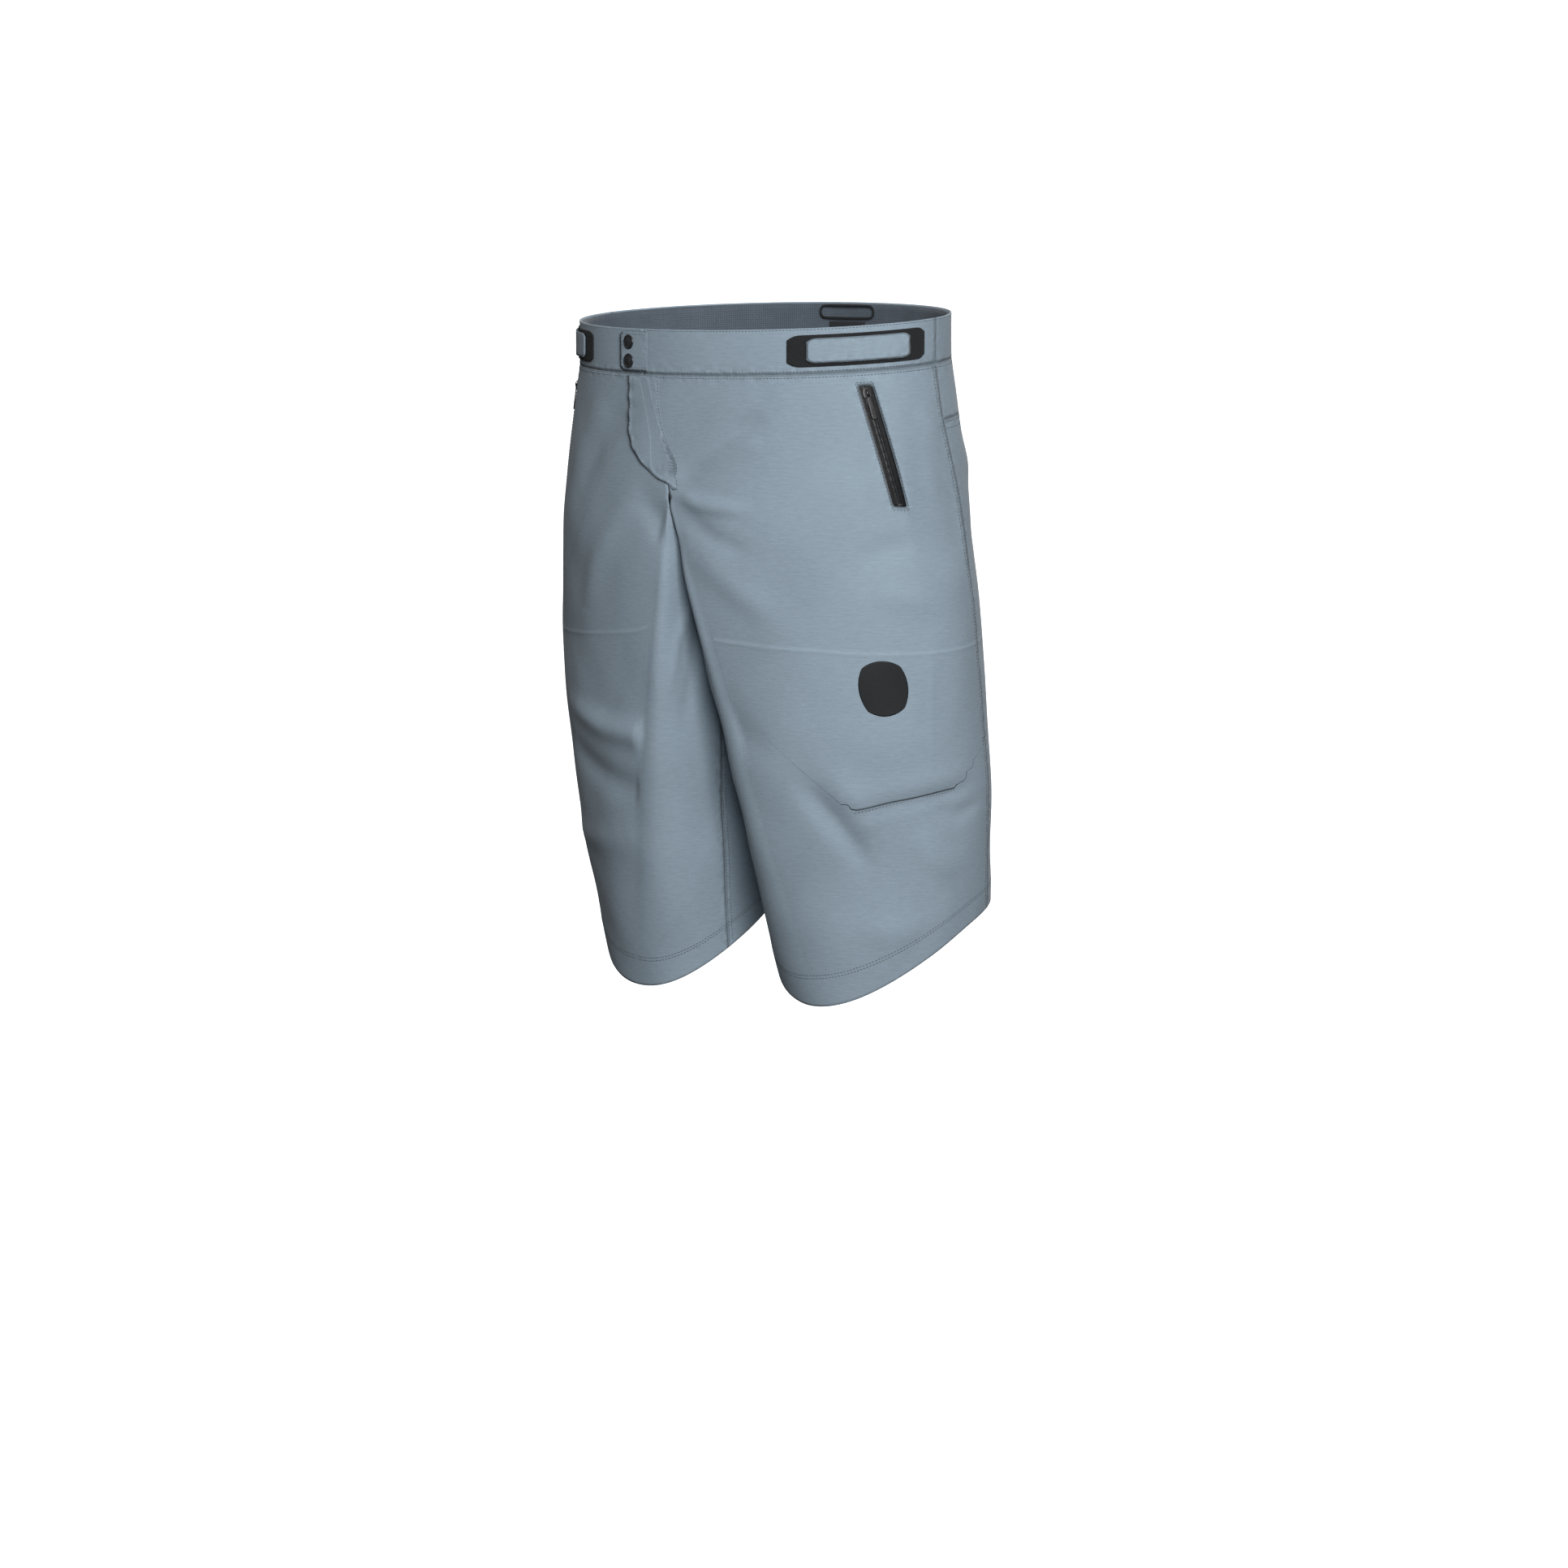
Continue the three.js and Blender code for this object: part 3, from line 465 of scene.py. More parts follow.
# ---- Folds -----------------------------------------------------------------------------
# Each fold is a line of (angle, level) spots with a height, a width and a lean to one side.
def fold_line(side, spots, height, width, lean=0.0, blunt=0.5):
    """One fold of the cloth, sizes in millimetres."""
    return dict(
        side=side, spots=spots, height=height * MM, width=width * MM, lean=lean, blunt=blunt)


FOLDS = [
    fold_line(LEFT, [(-86, 0.90), (-77, 0.63), (-68, 0.42), (-60, 0.30)], -2.6, 10, 0.5),
    fold_line(LEFT, [(-82, 0.72), (-70, 0.52), (-62, 0.47)], 1.6, 9),
    fold_line(LEFT, [(-87, 0.965), (-82, 1.00), (-76, 0.995), (-68, 0.97)], 2.0, 6, -0.6),
    fold_line(LEFT, [(-87, 1.03), (-80, 1.07), (-70, 1.09)], -1.6, 9),
    fold_line(LEFT, [(-88, 1.10), (-76, 1.17), (-66, 1.22)], 1.6, 13),
    fold_line(LEFT, [(-6, 0.22), (-6, 0.55), (-7, 0.86)], 1.3, 4.5),
    fold_line(LEFT, [(-11, 0.2), (-12, 0.6), (-13, 0.9)], -1.2, 6),
    fold_line(LEFT, [(-38, 1.09), (-28, 1.05), (-18, 1.03)], -2.2, 13, 0.3),
    fold_line(LEFT, [(-36, 1.16), (-26, 1.15), (-14, 1.18)], 1.5, 14),
    fold_line(LEFT, [(-13, 1.07), (-17.5, 1.337), (-21.5, 1.583)], 0.45, 3.2),
    fold_line(LEFT, [(-70, 1.56), (-60, 1.65), (-52, 1.74)], -2.8, 9, 0.4),
    fold_line(LEFT, [(-60, 1.52), (-52, 1.60), (-46, 1.68)], 2.1, 12),
    fold_line(LEFT, [(-110, 1.35), (-95, 1.44), (-78, 1.50)], -1.6, 16),
    fold_line(LEFT, [(-30, 1.70), (-22, 1.78), (-12, 1.84)], 1.6, 10),
    fold_line(LEFT, [(-20, 1.66), (-8, 1.70), (6, 1.70)], -1.5, 8),
    fold_line(LEFT, [(-6, 1.642), (-17, 1.636), (-38, 1.626), (-52, 1.626)], -1.3, 6, 0.0, 0.2),
    fold_line(LEFT, [(-6, 1.60), (-17, 1.594), (-38, 1.586), (-56, 1.588)], 1.0, 10, 0.0, 0.3),
    fold_line(LEFT, [(-58, 1.86), (-45, 1.90), (-30, 1.92)], 1.4, 12),
    fold_line(RIGHT, [(-89, 1.03), (-104, 1.05), (-118, 1.08)], 2.2, 7, 0.6),
    fold_line(RIGHT, [(-82, 0.97), (-92, 1.08), (-104, 1.20)], -2.4, 9),
    fold_line(RIGHT, [(-78, 0.98), (-66, 1.10), (-60, 1.22)], 1.8, 12),
    fold_line(RIGHT, [(-50, 1.43), (-72, 1.46), (-98, 1.48), (-120, 1.49)], 3.5, 12, 0.7),
    fold_line(RIGHT, [(-46, 1.53), (-70, 1.57), (-95, 1.60)], -2.7, 13),
    fold_line(RIGHT, [(-40, 1.74), (-62, 1.72), (-84, 1.69)], 1.7, 12),
    fold_line(RIGHT, [(-74, 0.30), (-62, 0.55), (-52, 0.86)], -1.7, 12),
    fold_line(RIGHT, [(-64, 0.22), (-52, 0.45), (-42, 0.72)], 1.3, 12),
    fold_line(RIGHT, [(-100, 1.30), (-112, 1.42), (-122, 1.55)], -1.8, 10),
]
# Folds that both legs have behind: below the seat, behind the knee, and beside the inseam.
BACK_FOLDS = [
    ([(60, 1.06), (90, 1.02), (120, 1.03), (150, 1.05)], -3.2, 12, 0.4),
    ([(50, 1.13), (84, 1.10), (120, 1.12), (160, 1.16)], 2.4, 13, 0.0),
    ([(70, 1.22), (100, 1.20), (140, 1.25)], -2.2, 14, 0.0),
    ([(40, 1.58), (80, 1.52), (120, 1.50), (160, 1.53)], 3.0, 13, 0.5),
    ([(48, 1.66), (84, 1.61), (124, 1.60), (170, 1.64)], -2.8, 12, 0.4),
    ([(60, 1.74), (96, 1.71), (140, 1.73)], 2.2, 12, 0.0),
    ([(190, 1.14), (200, 1.3), (196, 1.5)], -2.0, 10, 0.0),
    ([(20, 0.55), (44, 0.76), (70, 0.96)], 2.0, 14, 0.0),
    ([(30, 0.42), (52, 0.60), (80, 0.78)], -1.8, 12, 0.0),
    ([(225, 1.12), (238, 1.22), (246, 1.36)], 2.0, 9, 0.0),
    ([(214, 1.10), (224, 1.24), (232, 1.42)], -2.0, 9, 0.0),
]
PRESSED = [
    (LEFT, [(-112, 1.285), (-57, 1.277), (-16, 1.290), (30, 1.30), (90, 1.30)]),
    (RIGHT, [(-131, 1.225), (-83, 1.270), (-45, 1.273), (10, 1.28), (90, 1.29)]),
    (RIGHT, [(-20, 1.10), (-24, 1.35), (-26, 1.60)]),
]
DART = [(-9.0, 1.633), (-17.0, 1.627), (-38.0, 1.617), (-53.0, 1.617)]


def cloth_place(angle, level):
    """Angle and level as millimetre-true distances round and down the cloth, in metres."""
    narrowing = mix(*FOLD_ROUND, np.clip(level - 1.0, 0.0, 1.0))
    around = np.radians(angle) * narrowing
    down = np.where(level < FORK, level * BODY_HEIGHT, BODY_HEIGHT + (level - FORK) * LEG_HEIGHT)
    return around, down


def line_distance(angle, level, spots):
    """Signed distance to a line of spots, and the share of the way along it."""
    x, y = cloth_place(angle, level)
    ends = [cloth_place(np.float64(a), np.float64(v)) for a, v in spots]
    best = np.full(np.shape(x), 9.0)
    side = np.zeros(np.shape(x))
    share = np.zeros(np.shape(x))
    for k, ((ax, ay), (bx, by)) in enumerate(zip(ends[:-1], ends[1:])):
        dx, dy = bx - ax, by - ay
        size = math.hypot(dx, dy)
        raw = ((x - ax) * dx + (y - ay) * dy) / (size * size)
        t = np.clip(raw, 0.0, 1.0)
        gap = np.hypot(x - ax - t * dx, y - ay - t * dy)
        nearer = gap < best
        best = np.where(nearer, gap, best)
        side = np.where(nearer, ((x - ax) * dy - (y - ay) * dx) / size, side)
        share = np.where(nearer, (k + t) / (len(ends) - 1), share)
    return best, side, share


def fold_height(angle, level, fold):
    """A fold's height: a bell across its line, leaning to one side, dying out at both ends."""
    gap, side, share = line_distance(angle, level, fold["spots"])
    fade = np.sin(np.pi * np.clip(share, 0.02, 0.98)) ** fold["blunt"]
    bell = np.exp(-((gap / fold["width"]) ** 2))
    return fold["height"] * fade * bell * (1.0 + fold["lean"] * side / fold["width"])


def soft_waves(points, count=26, seed=7):
    """Gentle unevenness: a sum of plane waves with seeded directions, lengths and phases."""
    random = np.random.default_rng(seed)
    direction = unit(random.normal(size=(count, 3)))
    wavelength = random.uniform(0.035, 0.14, count)
    phase = random.uniform(0.0, 2.0 * np.pi, count)
    turns = points @ (direction / wavelength[:, None]).T * 2.0 * np.pi + phase
    return (np.sin(turns) * wavelength / 0.14).sum(1) / math.sqrt(count)


def sewn_distance(net, shell):
    """Distance from each point of a net to the nearest seam, in metres along the cloth."""
    point = net.along(shell.point)
    pace = np.linalg.norm(np.diff(point, axis=1), axis=2)
    round_it = np.concatenate([np.zeros((len(pace), 1)), np.cumsum(pace, 1)], 1)
    from_seam = np.abs(round_it - round_it[:, SEAM_COLUMN:SEAM_COLUMN + 1])
    found = [from_seam]
    if net.level[0, 0] < FORK:
        found.append(np.abs(net.level) * np.where(net.level < 0, cut().band, BODY_HEIGHT))
        yoke = np.abs(net.level - YOKE_LEVEL) * BODY_HEIGHT
        found.append(np.where(net.angle > side_seam(net.level) - 0.2, yoke, 1.0))
        found.append(np.abs(round_it - round_it[:, -1:]) + np.where(net.level < 0, 1.0, 0.0))
        low, high = SLOT_LEVELS
        across = np.abs(net.angle - zip_angle(net.level)) - slot_half(net.level)
        across = np.radians(across) * SLOT_ROUND
        beyond = np.maximum(low - net.level, net.level - high) * BODY_HEIGHT
        slot = np.hypot(np.maximum(across, 0.0), np.maximum(beyond, 0.0))
        found.append(slot)
    else:
        inseam = HALF + INSEAM_COLUMNS[0]
        found.append(np.abs(round_it - round_it[:, inseam:inseam + 1]))
        inner = (net.angle > 91.0) & (net.angle < 269.0)
        found.append(np.where(inner, (net.level - FORK) * LEG_HEIGHT, 1.0))
    return np.minimum.reduce(found), round_it - round_it[:, SEAM_COLUMN:SEAM_COLUMN + 1]


def drape():
    """The shell in worn shape: the cut surface, relaxed at the hip line, with its folds."""
    shell = Shell()

    def looseness(side, angle, level):
        """1 at the hip line and the crotch, where two surfaces join, and 0 elsewhere."""
        _, down = cloth_place(angle, level)
        near = np.exp(-(((down - BODY_HEIGHT) / 0.03) ** 2))
        inner = np.exp(-(((level - 1.0) / 0.16) ** 2)) * step(0.3, 0.9, -np.cos(np.radians(angle)))
        edge = (level <= FORK) & (angle < half_edge(side, level) + 0.8)
        split = (level > FORK) & (level < 1.06) & ((angle < -89.0) | (angle > 266.0))
        return np.where(edge | split, 0.0, np.maximum(near, inner) * 0.9)

    def sliding(side, angle, level):
        """0 round the outside, where the zip and side seam run, and 1 at the crotch."""
        return step(0.36, 0.9, 1.0 - np.cos(np.radians(angle))) + 0.0 * level

    shell.relax(shell.spread(looseness), shell.spread(sliding), 34)
    strength = folds().fold

    def raised(side, angle, level):
        """The height of all the folds of one side."""
        total = np.zeros(np.shape(angle))
        for fold in FOLDS:
            if fold["side"] == side:
                total = total + fold_height(angle, level, fold)
        for spots, height, width, lean in BACK_FOLDS:
            scale = 1.0 if side == LEFT else 0.85
            fold = fold_line(side, spots, height * scale, width, lean)
            total = total + fold_height(angle, level, fold)
        front = np.clip((angle - half_edge(side, level)) / 4.0, 0.0, 1.0)
        total = total * np.where(level < FORK, front, 1.0) * step(-0.05, 0.12, level)
        return total * strength

    lift = shell.spread(raised)

    def quietness(side, angle, level):
        """Share of the waves that shows: little at the band, and almost none along a stiff zip."""
        stiff = np.exp(-(((angle - zip_angle(level)) / ZIP_STIFF_DEGREES) ** 2))
        stiff = stiff * (1.0 - step(0.95, 1.1, level))
        return (0.35 + 0.65 * step(0.0, 0.4, level)) * (1.0 - 0.92 * stiff)

    quiet = shell.spread(quietness)
    lift = lift + folds().wave * soft_waves(shell.point) * quiet
    shell.point = shell.point + shell.normals() * lift[:, None]
    shell.normal = shell.normals()
    for net in shell.nets.values():
        net.sewn, net.round = sewn_distance(net, shell)
    return shell


def half_edge(side, level):
    """The angle of the front opening's edge on one side."""
    flat = np.minimum(level, FORK)
    return angle_at(HAND[side] * opening_x(flat), flat)


# ---- Finding a spot on the finished cloth ----------------------------------------------
def spot(side, angle, level, lift=0.0):
    """Points on the draped shell at angles and levels, raised outwards by lift metres.

    Each is worked out from the four grid points round it, by their shares.
    """
    angle, level, lift = np.broadcast_arrays(
        np.asarray(angle, float), np.asarray(level, float), np.asarray(lift, float))
    shape = angle.shape
    angle, level, lift = angle.ravel(), level.ravel(), lift.ravel()
    found = np.zeros((len(angle), 3))
    for part in ("body", "leg"):
        here = level <= FORK if part == "body" else level > FORK
        if not here.any():
            continue
        a, v = angle[here], level[here]
        across = np.zeros(len(a), bool)
        if part == "body" and side == LEFT:
            across = a < half_edge(LEFT, v)
        for name, chosen, turned in ((side, ~across, a), (RIGHT, across, -180.0 - a)):
            if not chosen.any():
                continue
            net = SHELL.nets[part, name]
            levels = net.level[:, 0]
            row = np.clip(np.searchsorted(levels, v[chosen], "right") - 1, 0, len(levels) - 2)
            down = (v[chosen] - levels[row]) / (levels[row + 1] - levels[row])
            table = mix(net.angle[row], net.angle[row + 1], down[:, None])
            want = turned[chosen]
            col = np.clip((table <= want[:, None]).sum(1) - 1, 0, table.shape[1] - 2)
            each = np.arange(len(want))
            left, right = table[each, col], table[each, col + 1]
            over = np.clip((want - left) / np.maximum(right - left, 1e-9), 0.0, 1.0)
            corner = [net.index[row, col], net.index[row, col + 1],
                      net.index[row + 1, col], net.index[row + 1, col + 1]]
            weight = [(1 - over) * (1 - down), over * (1 - down), (1 - over) * down, over * down]
            place = sum(w[:, None] * SHELL.point[c] for w, c in zip(weight, corner))
            normal = sum(w[:, None] * SHELL.normal[c] for w, c in zip(weight, corner))
            where = np.flatnonzero(here)[chosen]
            found[where] = place + unit(normal) * lift[where][:, None]
    return found.reshape(shape + (3,))


def patch(side, angles, levels, lift, size):
    """A grid of spots: angles and levels are functions of u and w from 0 to 1."""
    u, w = np.meshgrid(np.linspace(0, 1, size[0]), np.linspace(0, 1, size[1]))
    height = lift(u, w) if callable(lift) else lift
    return spot(side, angles(u, w), levels(u, w), height)


# ---- Meshes from arrays ----------------------------------------------------------------
def new_mesh(name, points, faces, uv=None, attributes=None):
    """A piece from arrays of points and quads, with its cloth map and attributes."""
    mesh = bpy.data.meshes.new(name)
    mesh.from_pydata(points.tolist(), [], faces.tolist())
    if uv is not None:
        layer = mesh.uv_layers.new(name="cloth")
        layer.data.foreach_set("uv", np.asarray(uv, np.float32).ravel())
    for key, values in (attributes or {}).items():
        mesh.attributes.new(key, "FLOAT", "POINT").data.foreach_set(
            "value", np.asarray(values, np.float32))
    mesh.polygons.foreach_set("use_smooth", np.ones(len(mesh.polygons), bool))
    mesh.update()
    piece = bpy.data.objects.new(name, mesh)
    bpy.context.collection.objects.link(piece)
    return piece


def grid_mesh(name, points, close_across=False):
    """A piece from a rows by columns grid of points, mapped in metres along both ways.

    close_across joins the last column to the first, as round a tube.
    """
    rows, columns = points.shape[:2]
    index = np.arange(rows * columns).reshape(rows, columns)
    if close_across:
        index = np.concatenate([index, index[:, :1]], 1)
        points_wide = np.concatenate([points, points[:, :1]], 1)
    else:
        points_wide = points
    cells = np.stack([index[:-1, :-1], index[1:, :-1], index[1:, 1:], index[:-1, 1:]], -1)
    across = np.linalg.norm(np.diff(points_wide, axis=1), axis=2)
    along = np.linalg.norm(np.diff(points_wide, axis=0), axis=2)
    u = np.concatenate([np.zeros((rows, 1)), np.cumsum(across, 1)], 1)
    v = np.concatenate([np.zeros((1, points_wide.shape[1])), np.cumsum(along, 0)], 0)
    uv = np.stack([u, -v], -1)
    corners = np.stack([uv[:-1, :-1], uv[1:, :-1], uv[1:, 1:], uv[:-1, 1:]], -2)
    here_u, here_v = u[:, :columns], v[:, :columns]
    to_edges = (here_u, u[:, -1:] - here_u, here_v, v[-1:, :columns] - here_v)
    edge = np.minimum.reduce([np.broadcast_to(x, (rows, columns)) for x in to_edges])
    facts = {"sewn": edge.ravel(), "edge": edge.ravel()}
    facts["press"] = facts["dart"] = np.full(rows * columns, 1.0)
    return new_mesh(
        name, points.reshape(-1, 3), cells.reshape(-1, 4), corners.reshape(-1, 2), facts)


def merged(name, shapes):
    """Several arrays of points and faces as one mesh."""
    points, faces, total = [], [], 0
    for some_points, some_faces in shapes:
        points.append(some_points)
        faces.append(some_faces + total)
        total += len(some_points)
    return new_mesh(name, np.concatenate(points), np.concatenate(faces))


def thicken(piece, thickness, offset=-1.0, levels=0):
    """Gives a sheet its wall, inwards from its outer face, after smoothing it."""
    if levels:
        smooth = piece.modifiers.new("smooth", "SUBSURF")
        smooth.levels = levels
        smooth.render_levels = levels
        smooth.boundary_smooth = "PRESERVE_CORNERS"
    wall = piece.modifiers.new("wall", "SOLIDIFY")
    wall.thickness = thickness
    wall.offset = offset
    wall.use_even_offset = False
    return piece


def finish(piece, material, body, slot, *nodes):
    """Paints a piece, hides the model's parts that it stands for, and puts it on its body. The slot
    argument is not used.
    """
    piece.data.materials.append(material)
    if nodes:
        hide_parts(*nodes)
    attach(piece, body)
    return piece


def flat_facts(piece):
    """A sheet's cut width and length from its cloth map, and its area from its faces."""
    mesh = piece.data
    uv = np.empty(len(mesh.loops) * 2, np.float32)
    mesh.uv_layers["cloth"].data.foreach_get("uv", uv)
    faces = np.empty(len(mesh.polygons), np.float32)
    mesh.polygons.foreach_get("area", faces)
    width, height = (float(x) for x in np.ptp(uv.reshape(-1, 2), axis=0))
    share = float(np.clip(faces.sum() / (width * height), 0.31, 1.0))
    return (width, height), share * width * height


def declare(piece):
    """Works out a piece's cut size and area from its cloth map, and does nothing more with them."""
    flat, area = flat_facts(piece)


# ---- Materials -------------------------------------------------------------------------
class Wire:
    """One socket's value in a material, so that sums on it read as sums."""

    def __init__(self, paint, socket):
        self.paint = paint
        self.socket = socket

    def sum(self, operation, first, second):
        return self.paint.node("ShaderNodeMath", {"operation": operation}, {0: first, 1: second})

    def __add__(self, other):
        return self.sum("ADD", self, other)

    def __radd__(self, other):
        return self.sum("ADD", other, self)

    def __sub__(self, other):
        return self.sum("SUBTRACT", self, other)

    def __rsub__(self, other):
        return self.sum("SUBTRACT", other, self)

    def __mul__(self, other):
        return self.sum("MULTIPLY", self, other)

    def __rmul__(self, other):
        return self.sum("MULTIPLY", other, self)

    def __truediv__(self, other):
        return self.sum("DIVIDE", self, other)

    def __pow__(self, other):
        return self.sum("POWER", self, other)


class Paint:
    """A material being made: its nodes, and the shader at its end."""

    def __init__(self, name, base, roughness, metallic=0.0, sheen=0.0, coat=0.0, specular=0.5):
        self.material = bpy.data.materials.new(name)
        self.material.use_nodes = True
        self.tree = self.material.node_tree
        self.tree.nodes.clear()
        self.base = (*base, 1.0)
        self.shader = self.tree.nodes.new("ShaderNodeBsdfPrincipled")
        self.shader.inputs["Base Color"].default_value = self.base
        self.shader.inputs["Roughness"].default_value = roughness
        self.shader.inputs["Metallic"].default_value = metallic
        self.shader.inputs["Sheen Weight"].default_value = sheen
        self.shader.inputs["Sheen Roughness"].default_value = 0.45
        self.shader.inputs["Coat Weight"].default_value = coat
        self.shader.inputs["Specular IOR Level"].default_value = specular
        output = self.tree.nodes.new("ShaderNodeOutputMaterial")
        self.tree.links.new(self.shader.outputs[0], output.inputs[0])

    def node(self, kind, settings=None, inputs=None, output=0):
        """One node: its settings are set first, and then the values or links of its sockets."""
        made = self.tree.nodes.new(kind)
        for key, value in (settings or {}).items():
            if key == "stops":
                made.color_ramp.elements[0].position = value[0][0]
                made.color_ramp.elements[0].color = value[0][1]
                made.color_ramp.elements[1].position = value[1][0]
                made.color_ramp.elements[1].color = value[1][1]
            else:
                setattr(made, key, value)
        for key, value in (inputs or {}).items():
            if isinstance(value, Wire):
                self.tree.links.new(value.socket, made.inputs[key])
            else:
                made.inputs[key].default_value = value
        return Wire(self, made.outputs[output])

    def feed(self, key, wire):
        """Links a wire to the shader."""
        self.tree.links.new(wire.socket, self.shader.inputs[key])

    def place(self, scale, cloth=False):
        """Object coordinates in metres, or the cloth map, times a scale for each axis."""
        source = self.node("ShaderNodeTexCoord", output="UV" if cloth else "Object")
        return self.node("ShaderNodeMapping", inputs={"Vector": source, "Scale": scale})

    def noise(self, scale, cloth=False, detail=2.0, rough=0.5):
        """Smooth noise from 0 to 1; scale is its cycles to the metre along each axis."""
        place = self.place(scale, cloth)
        inputs = {"Vector": place, "Scale": 1.0, "Detail": detail, "Roughness": rough}
        return self.node("ShaderNodeTexNoise", inputs=inputs)

    def wave(self, wire, cycles):
        """A sine of a length in metres, from -1 to 1."""
        turns = wire * (2.0 * math.pi * cycles)
        return self.node("ShaderNodeMath", {"operation": "SINE"}, {0: turns})

    def split(self, vector, axis):
        """One part of a vector."""
        return self.node("ShaderNodeSeparateXYZ", inputs={0: vector}, output=axis)

    def bell(self, wire, width):
        """1 where a distance is nought, falling to nothing beyond its width."""
        near = (wire / width) ** 2.0
        return self.node("ShaderNodeMath", {"operation": "EXPONENT"}, {0: near * -1.0})

    def fact(self, name):
        """A number that the piece carries at each of its points."""
        settings = {"attribute_name": name}
        return self.node("ShaderNodeAttribute", settings, output="Fac")

    def tint(self, factor, first, second):
        """The first colour, turning into the second by the factor."""
        settings = {"data_type": "RGBA", "clamp_factor": True}
        return self.node("ShaderNodeMix", settings, {0: factor, 6: first, 7: second}, output=2)

    def shade(self, wire, strength):
        """The base colour made lighter and darker by a wire round 0.5."""
        dark = tuple(c * (1.0 - strength) for c in self.base[:3]) + (1.0,)
        light = tuple(min(c * (1.0 + strength), 1.0) for c in self.base[:3]) + (1.0,)
        return self.tint(wire, dark, light)

    def bump(self, height, metres, strength=1.0):
        """Raises the surface by a height of that many metres."""
        inputs = {"Height": height, "Distance": metres, "Strength": strength}
        self.feed("Normal", self.node("ShaderNodeBump", inputs=inputs))


def spread_round(wire, gain):
    """Noise pushed away from its middle value, still round 0.5."""
    return (wire - 0.5) * gain + 0.5


def shell_cloth():
    """Matte plain-weave stretch cloth.

    Fine crosswise slubs and fainter lengthwise ones, a broad unevenness of tone, shallow
    grooves and gathers beside the seams, and lines where it was pressed flat. The grooves
    at the seams and the dart are darkened with painted shade, the gathers carry painted
    light and shade, and the pressed lines a painted highlight.
    """
    paint = Paint("shell_cloth", colours().shell, 0.82, sheen=0.12, specular=0.28)
    broad = paint.noise((7.0, 7.0, 9.0), detail=3.0)
    slub = paint.noise((150.0, 1500.0, 1.0), cloth=True, detail=3.0, rough=0.65)
    warp = paint.noise((1300.0, 220.0, 1.0), cloth=True, detail=2.0, rough=0.6)
    grain = paint.noise((900.0, 900.0, 900.0), detail=1.0)
    sewn = paint.fact("sewn")
    press = paint.fact("press")
    along = paint.noise((150.0, 150.0, 150.0), detail=1.0)
    dart = paint.fact("dart")
    # Painted shade: the seam and dart grooves darken the base colour, as well as sinking the bump.
    groove = paint.bell(sewn, 0.0013) + paint.bell(dart, 0.0011) * 1.2
    # Painted light and shade: the gathers beside the seams lighten and darken the base colour, as
    # well as raising the bump.
    gathers = paint.bell(sewn, 0.007) * (along - 0.5)
    # Painted highlight: the pressed lines lighten the base colour, as well as raising the bump.
    ridge = paint.bell(press, 0.0022)
    coarse = paint.noise((75.0, 560.0, 1.0), cloth=True, detail=2.0, rough=0.6)
    thread = spread_round(slub, 2.2) * 0.4 + spread_round(warp, 2.0) * 0.2 + grain * 0.1
    thread = thread + spread_round(coarse, 2.4) * 0.3
    tone = spread_round(broad, 1.3) * 0.42 + thread * 0.58
    # The base colour gets painted shade in the grooves, painted light and shade over the gathers,
    # and a painted highlight along the pressed lines.
    tone = tone - groove * 0.9 + ridge * 0.16 + gathers * 0.7
    paint.feed("Base Color", paint.shade(tone, 0.3))
    paint.feed("Roughness", spread_round(slub, 0.3) * 0.2 + 0.74)
    height = thread * 0.16 - groove * 1.1 + gathers * 1.5 + ridge * 0.45 + broad * 0.2
    paint.bump(height, 0.001, 1.0)
    return paint.material


def plain_cloth(name, base, cycles, strength, roughness, bump):
    """A woven tape: ribs along both ways of its cloth map, with uneven threads."""
    paint = Paint(name, base, roughness, sheen=0.05, specular=0.3)
    place = paint.place((1.0, 1.0, 1.0), cloth=True)
    ribs = paint.wave(paint.split(place, 0), cycles)
    ribs = ribs * paint.wave(paint.split(place, 1), cycles * 0.8)
    uneven = paint.noise((500.0, 900.0, 1.0), cloth=True)
    tone = ribs * 0.22 + uneven * 0.6 + 0.2
    paint.feed("Base Color", paint.shade(tone, strength))
    paint.feed("Roughness", uneven * 0.2 + (roughness - 0.1))
    paint.bump(ribs * 0.5 + uneven, bump)
    return paint.material


def mesh_lining():
    """Open mesh: round holes in a staggered pattern through a knitted cloth, painted as dark spots
    of shade on the closed sheet.
    """
    paint = Paint("mesh_lining", colours().lining, 0.78, sheen=0.1, specular=0.3)
    cells = paint.node(
        "ShaderNodeTexVoronoi", {"feature": "F1"},
        {"Vector": paint.place((480.0, 480.0, 1.0), cloth=True), "Scale": 1.0, "Randomness": 0.15},
    )
    hole = paint.bell(cells, 0.3)
    uneven = paint.noise((60.0, 60.0, 60.0))
    # Painted shade: the holes darken the base colour, standing in for the shade seen through them.
    paint.feed("Base Color", paint.shade(uneven * 0.5 + 0.45 - hole * 0.5, 0.45))
    paint.feed("Roughness", uneven * 0.15 + 0.7)
    paint.bump(1.0 - hole, 0.0004)
    return paint.material


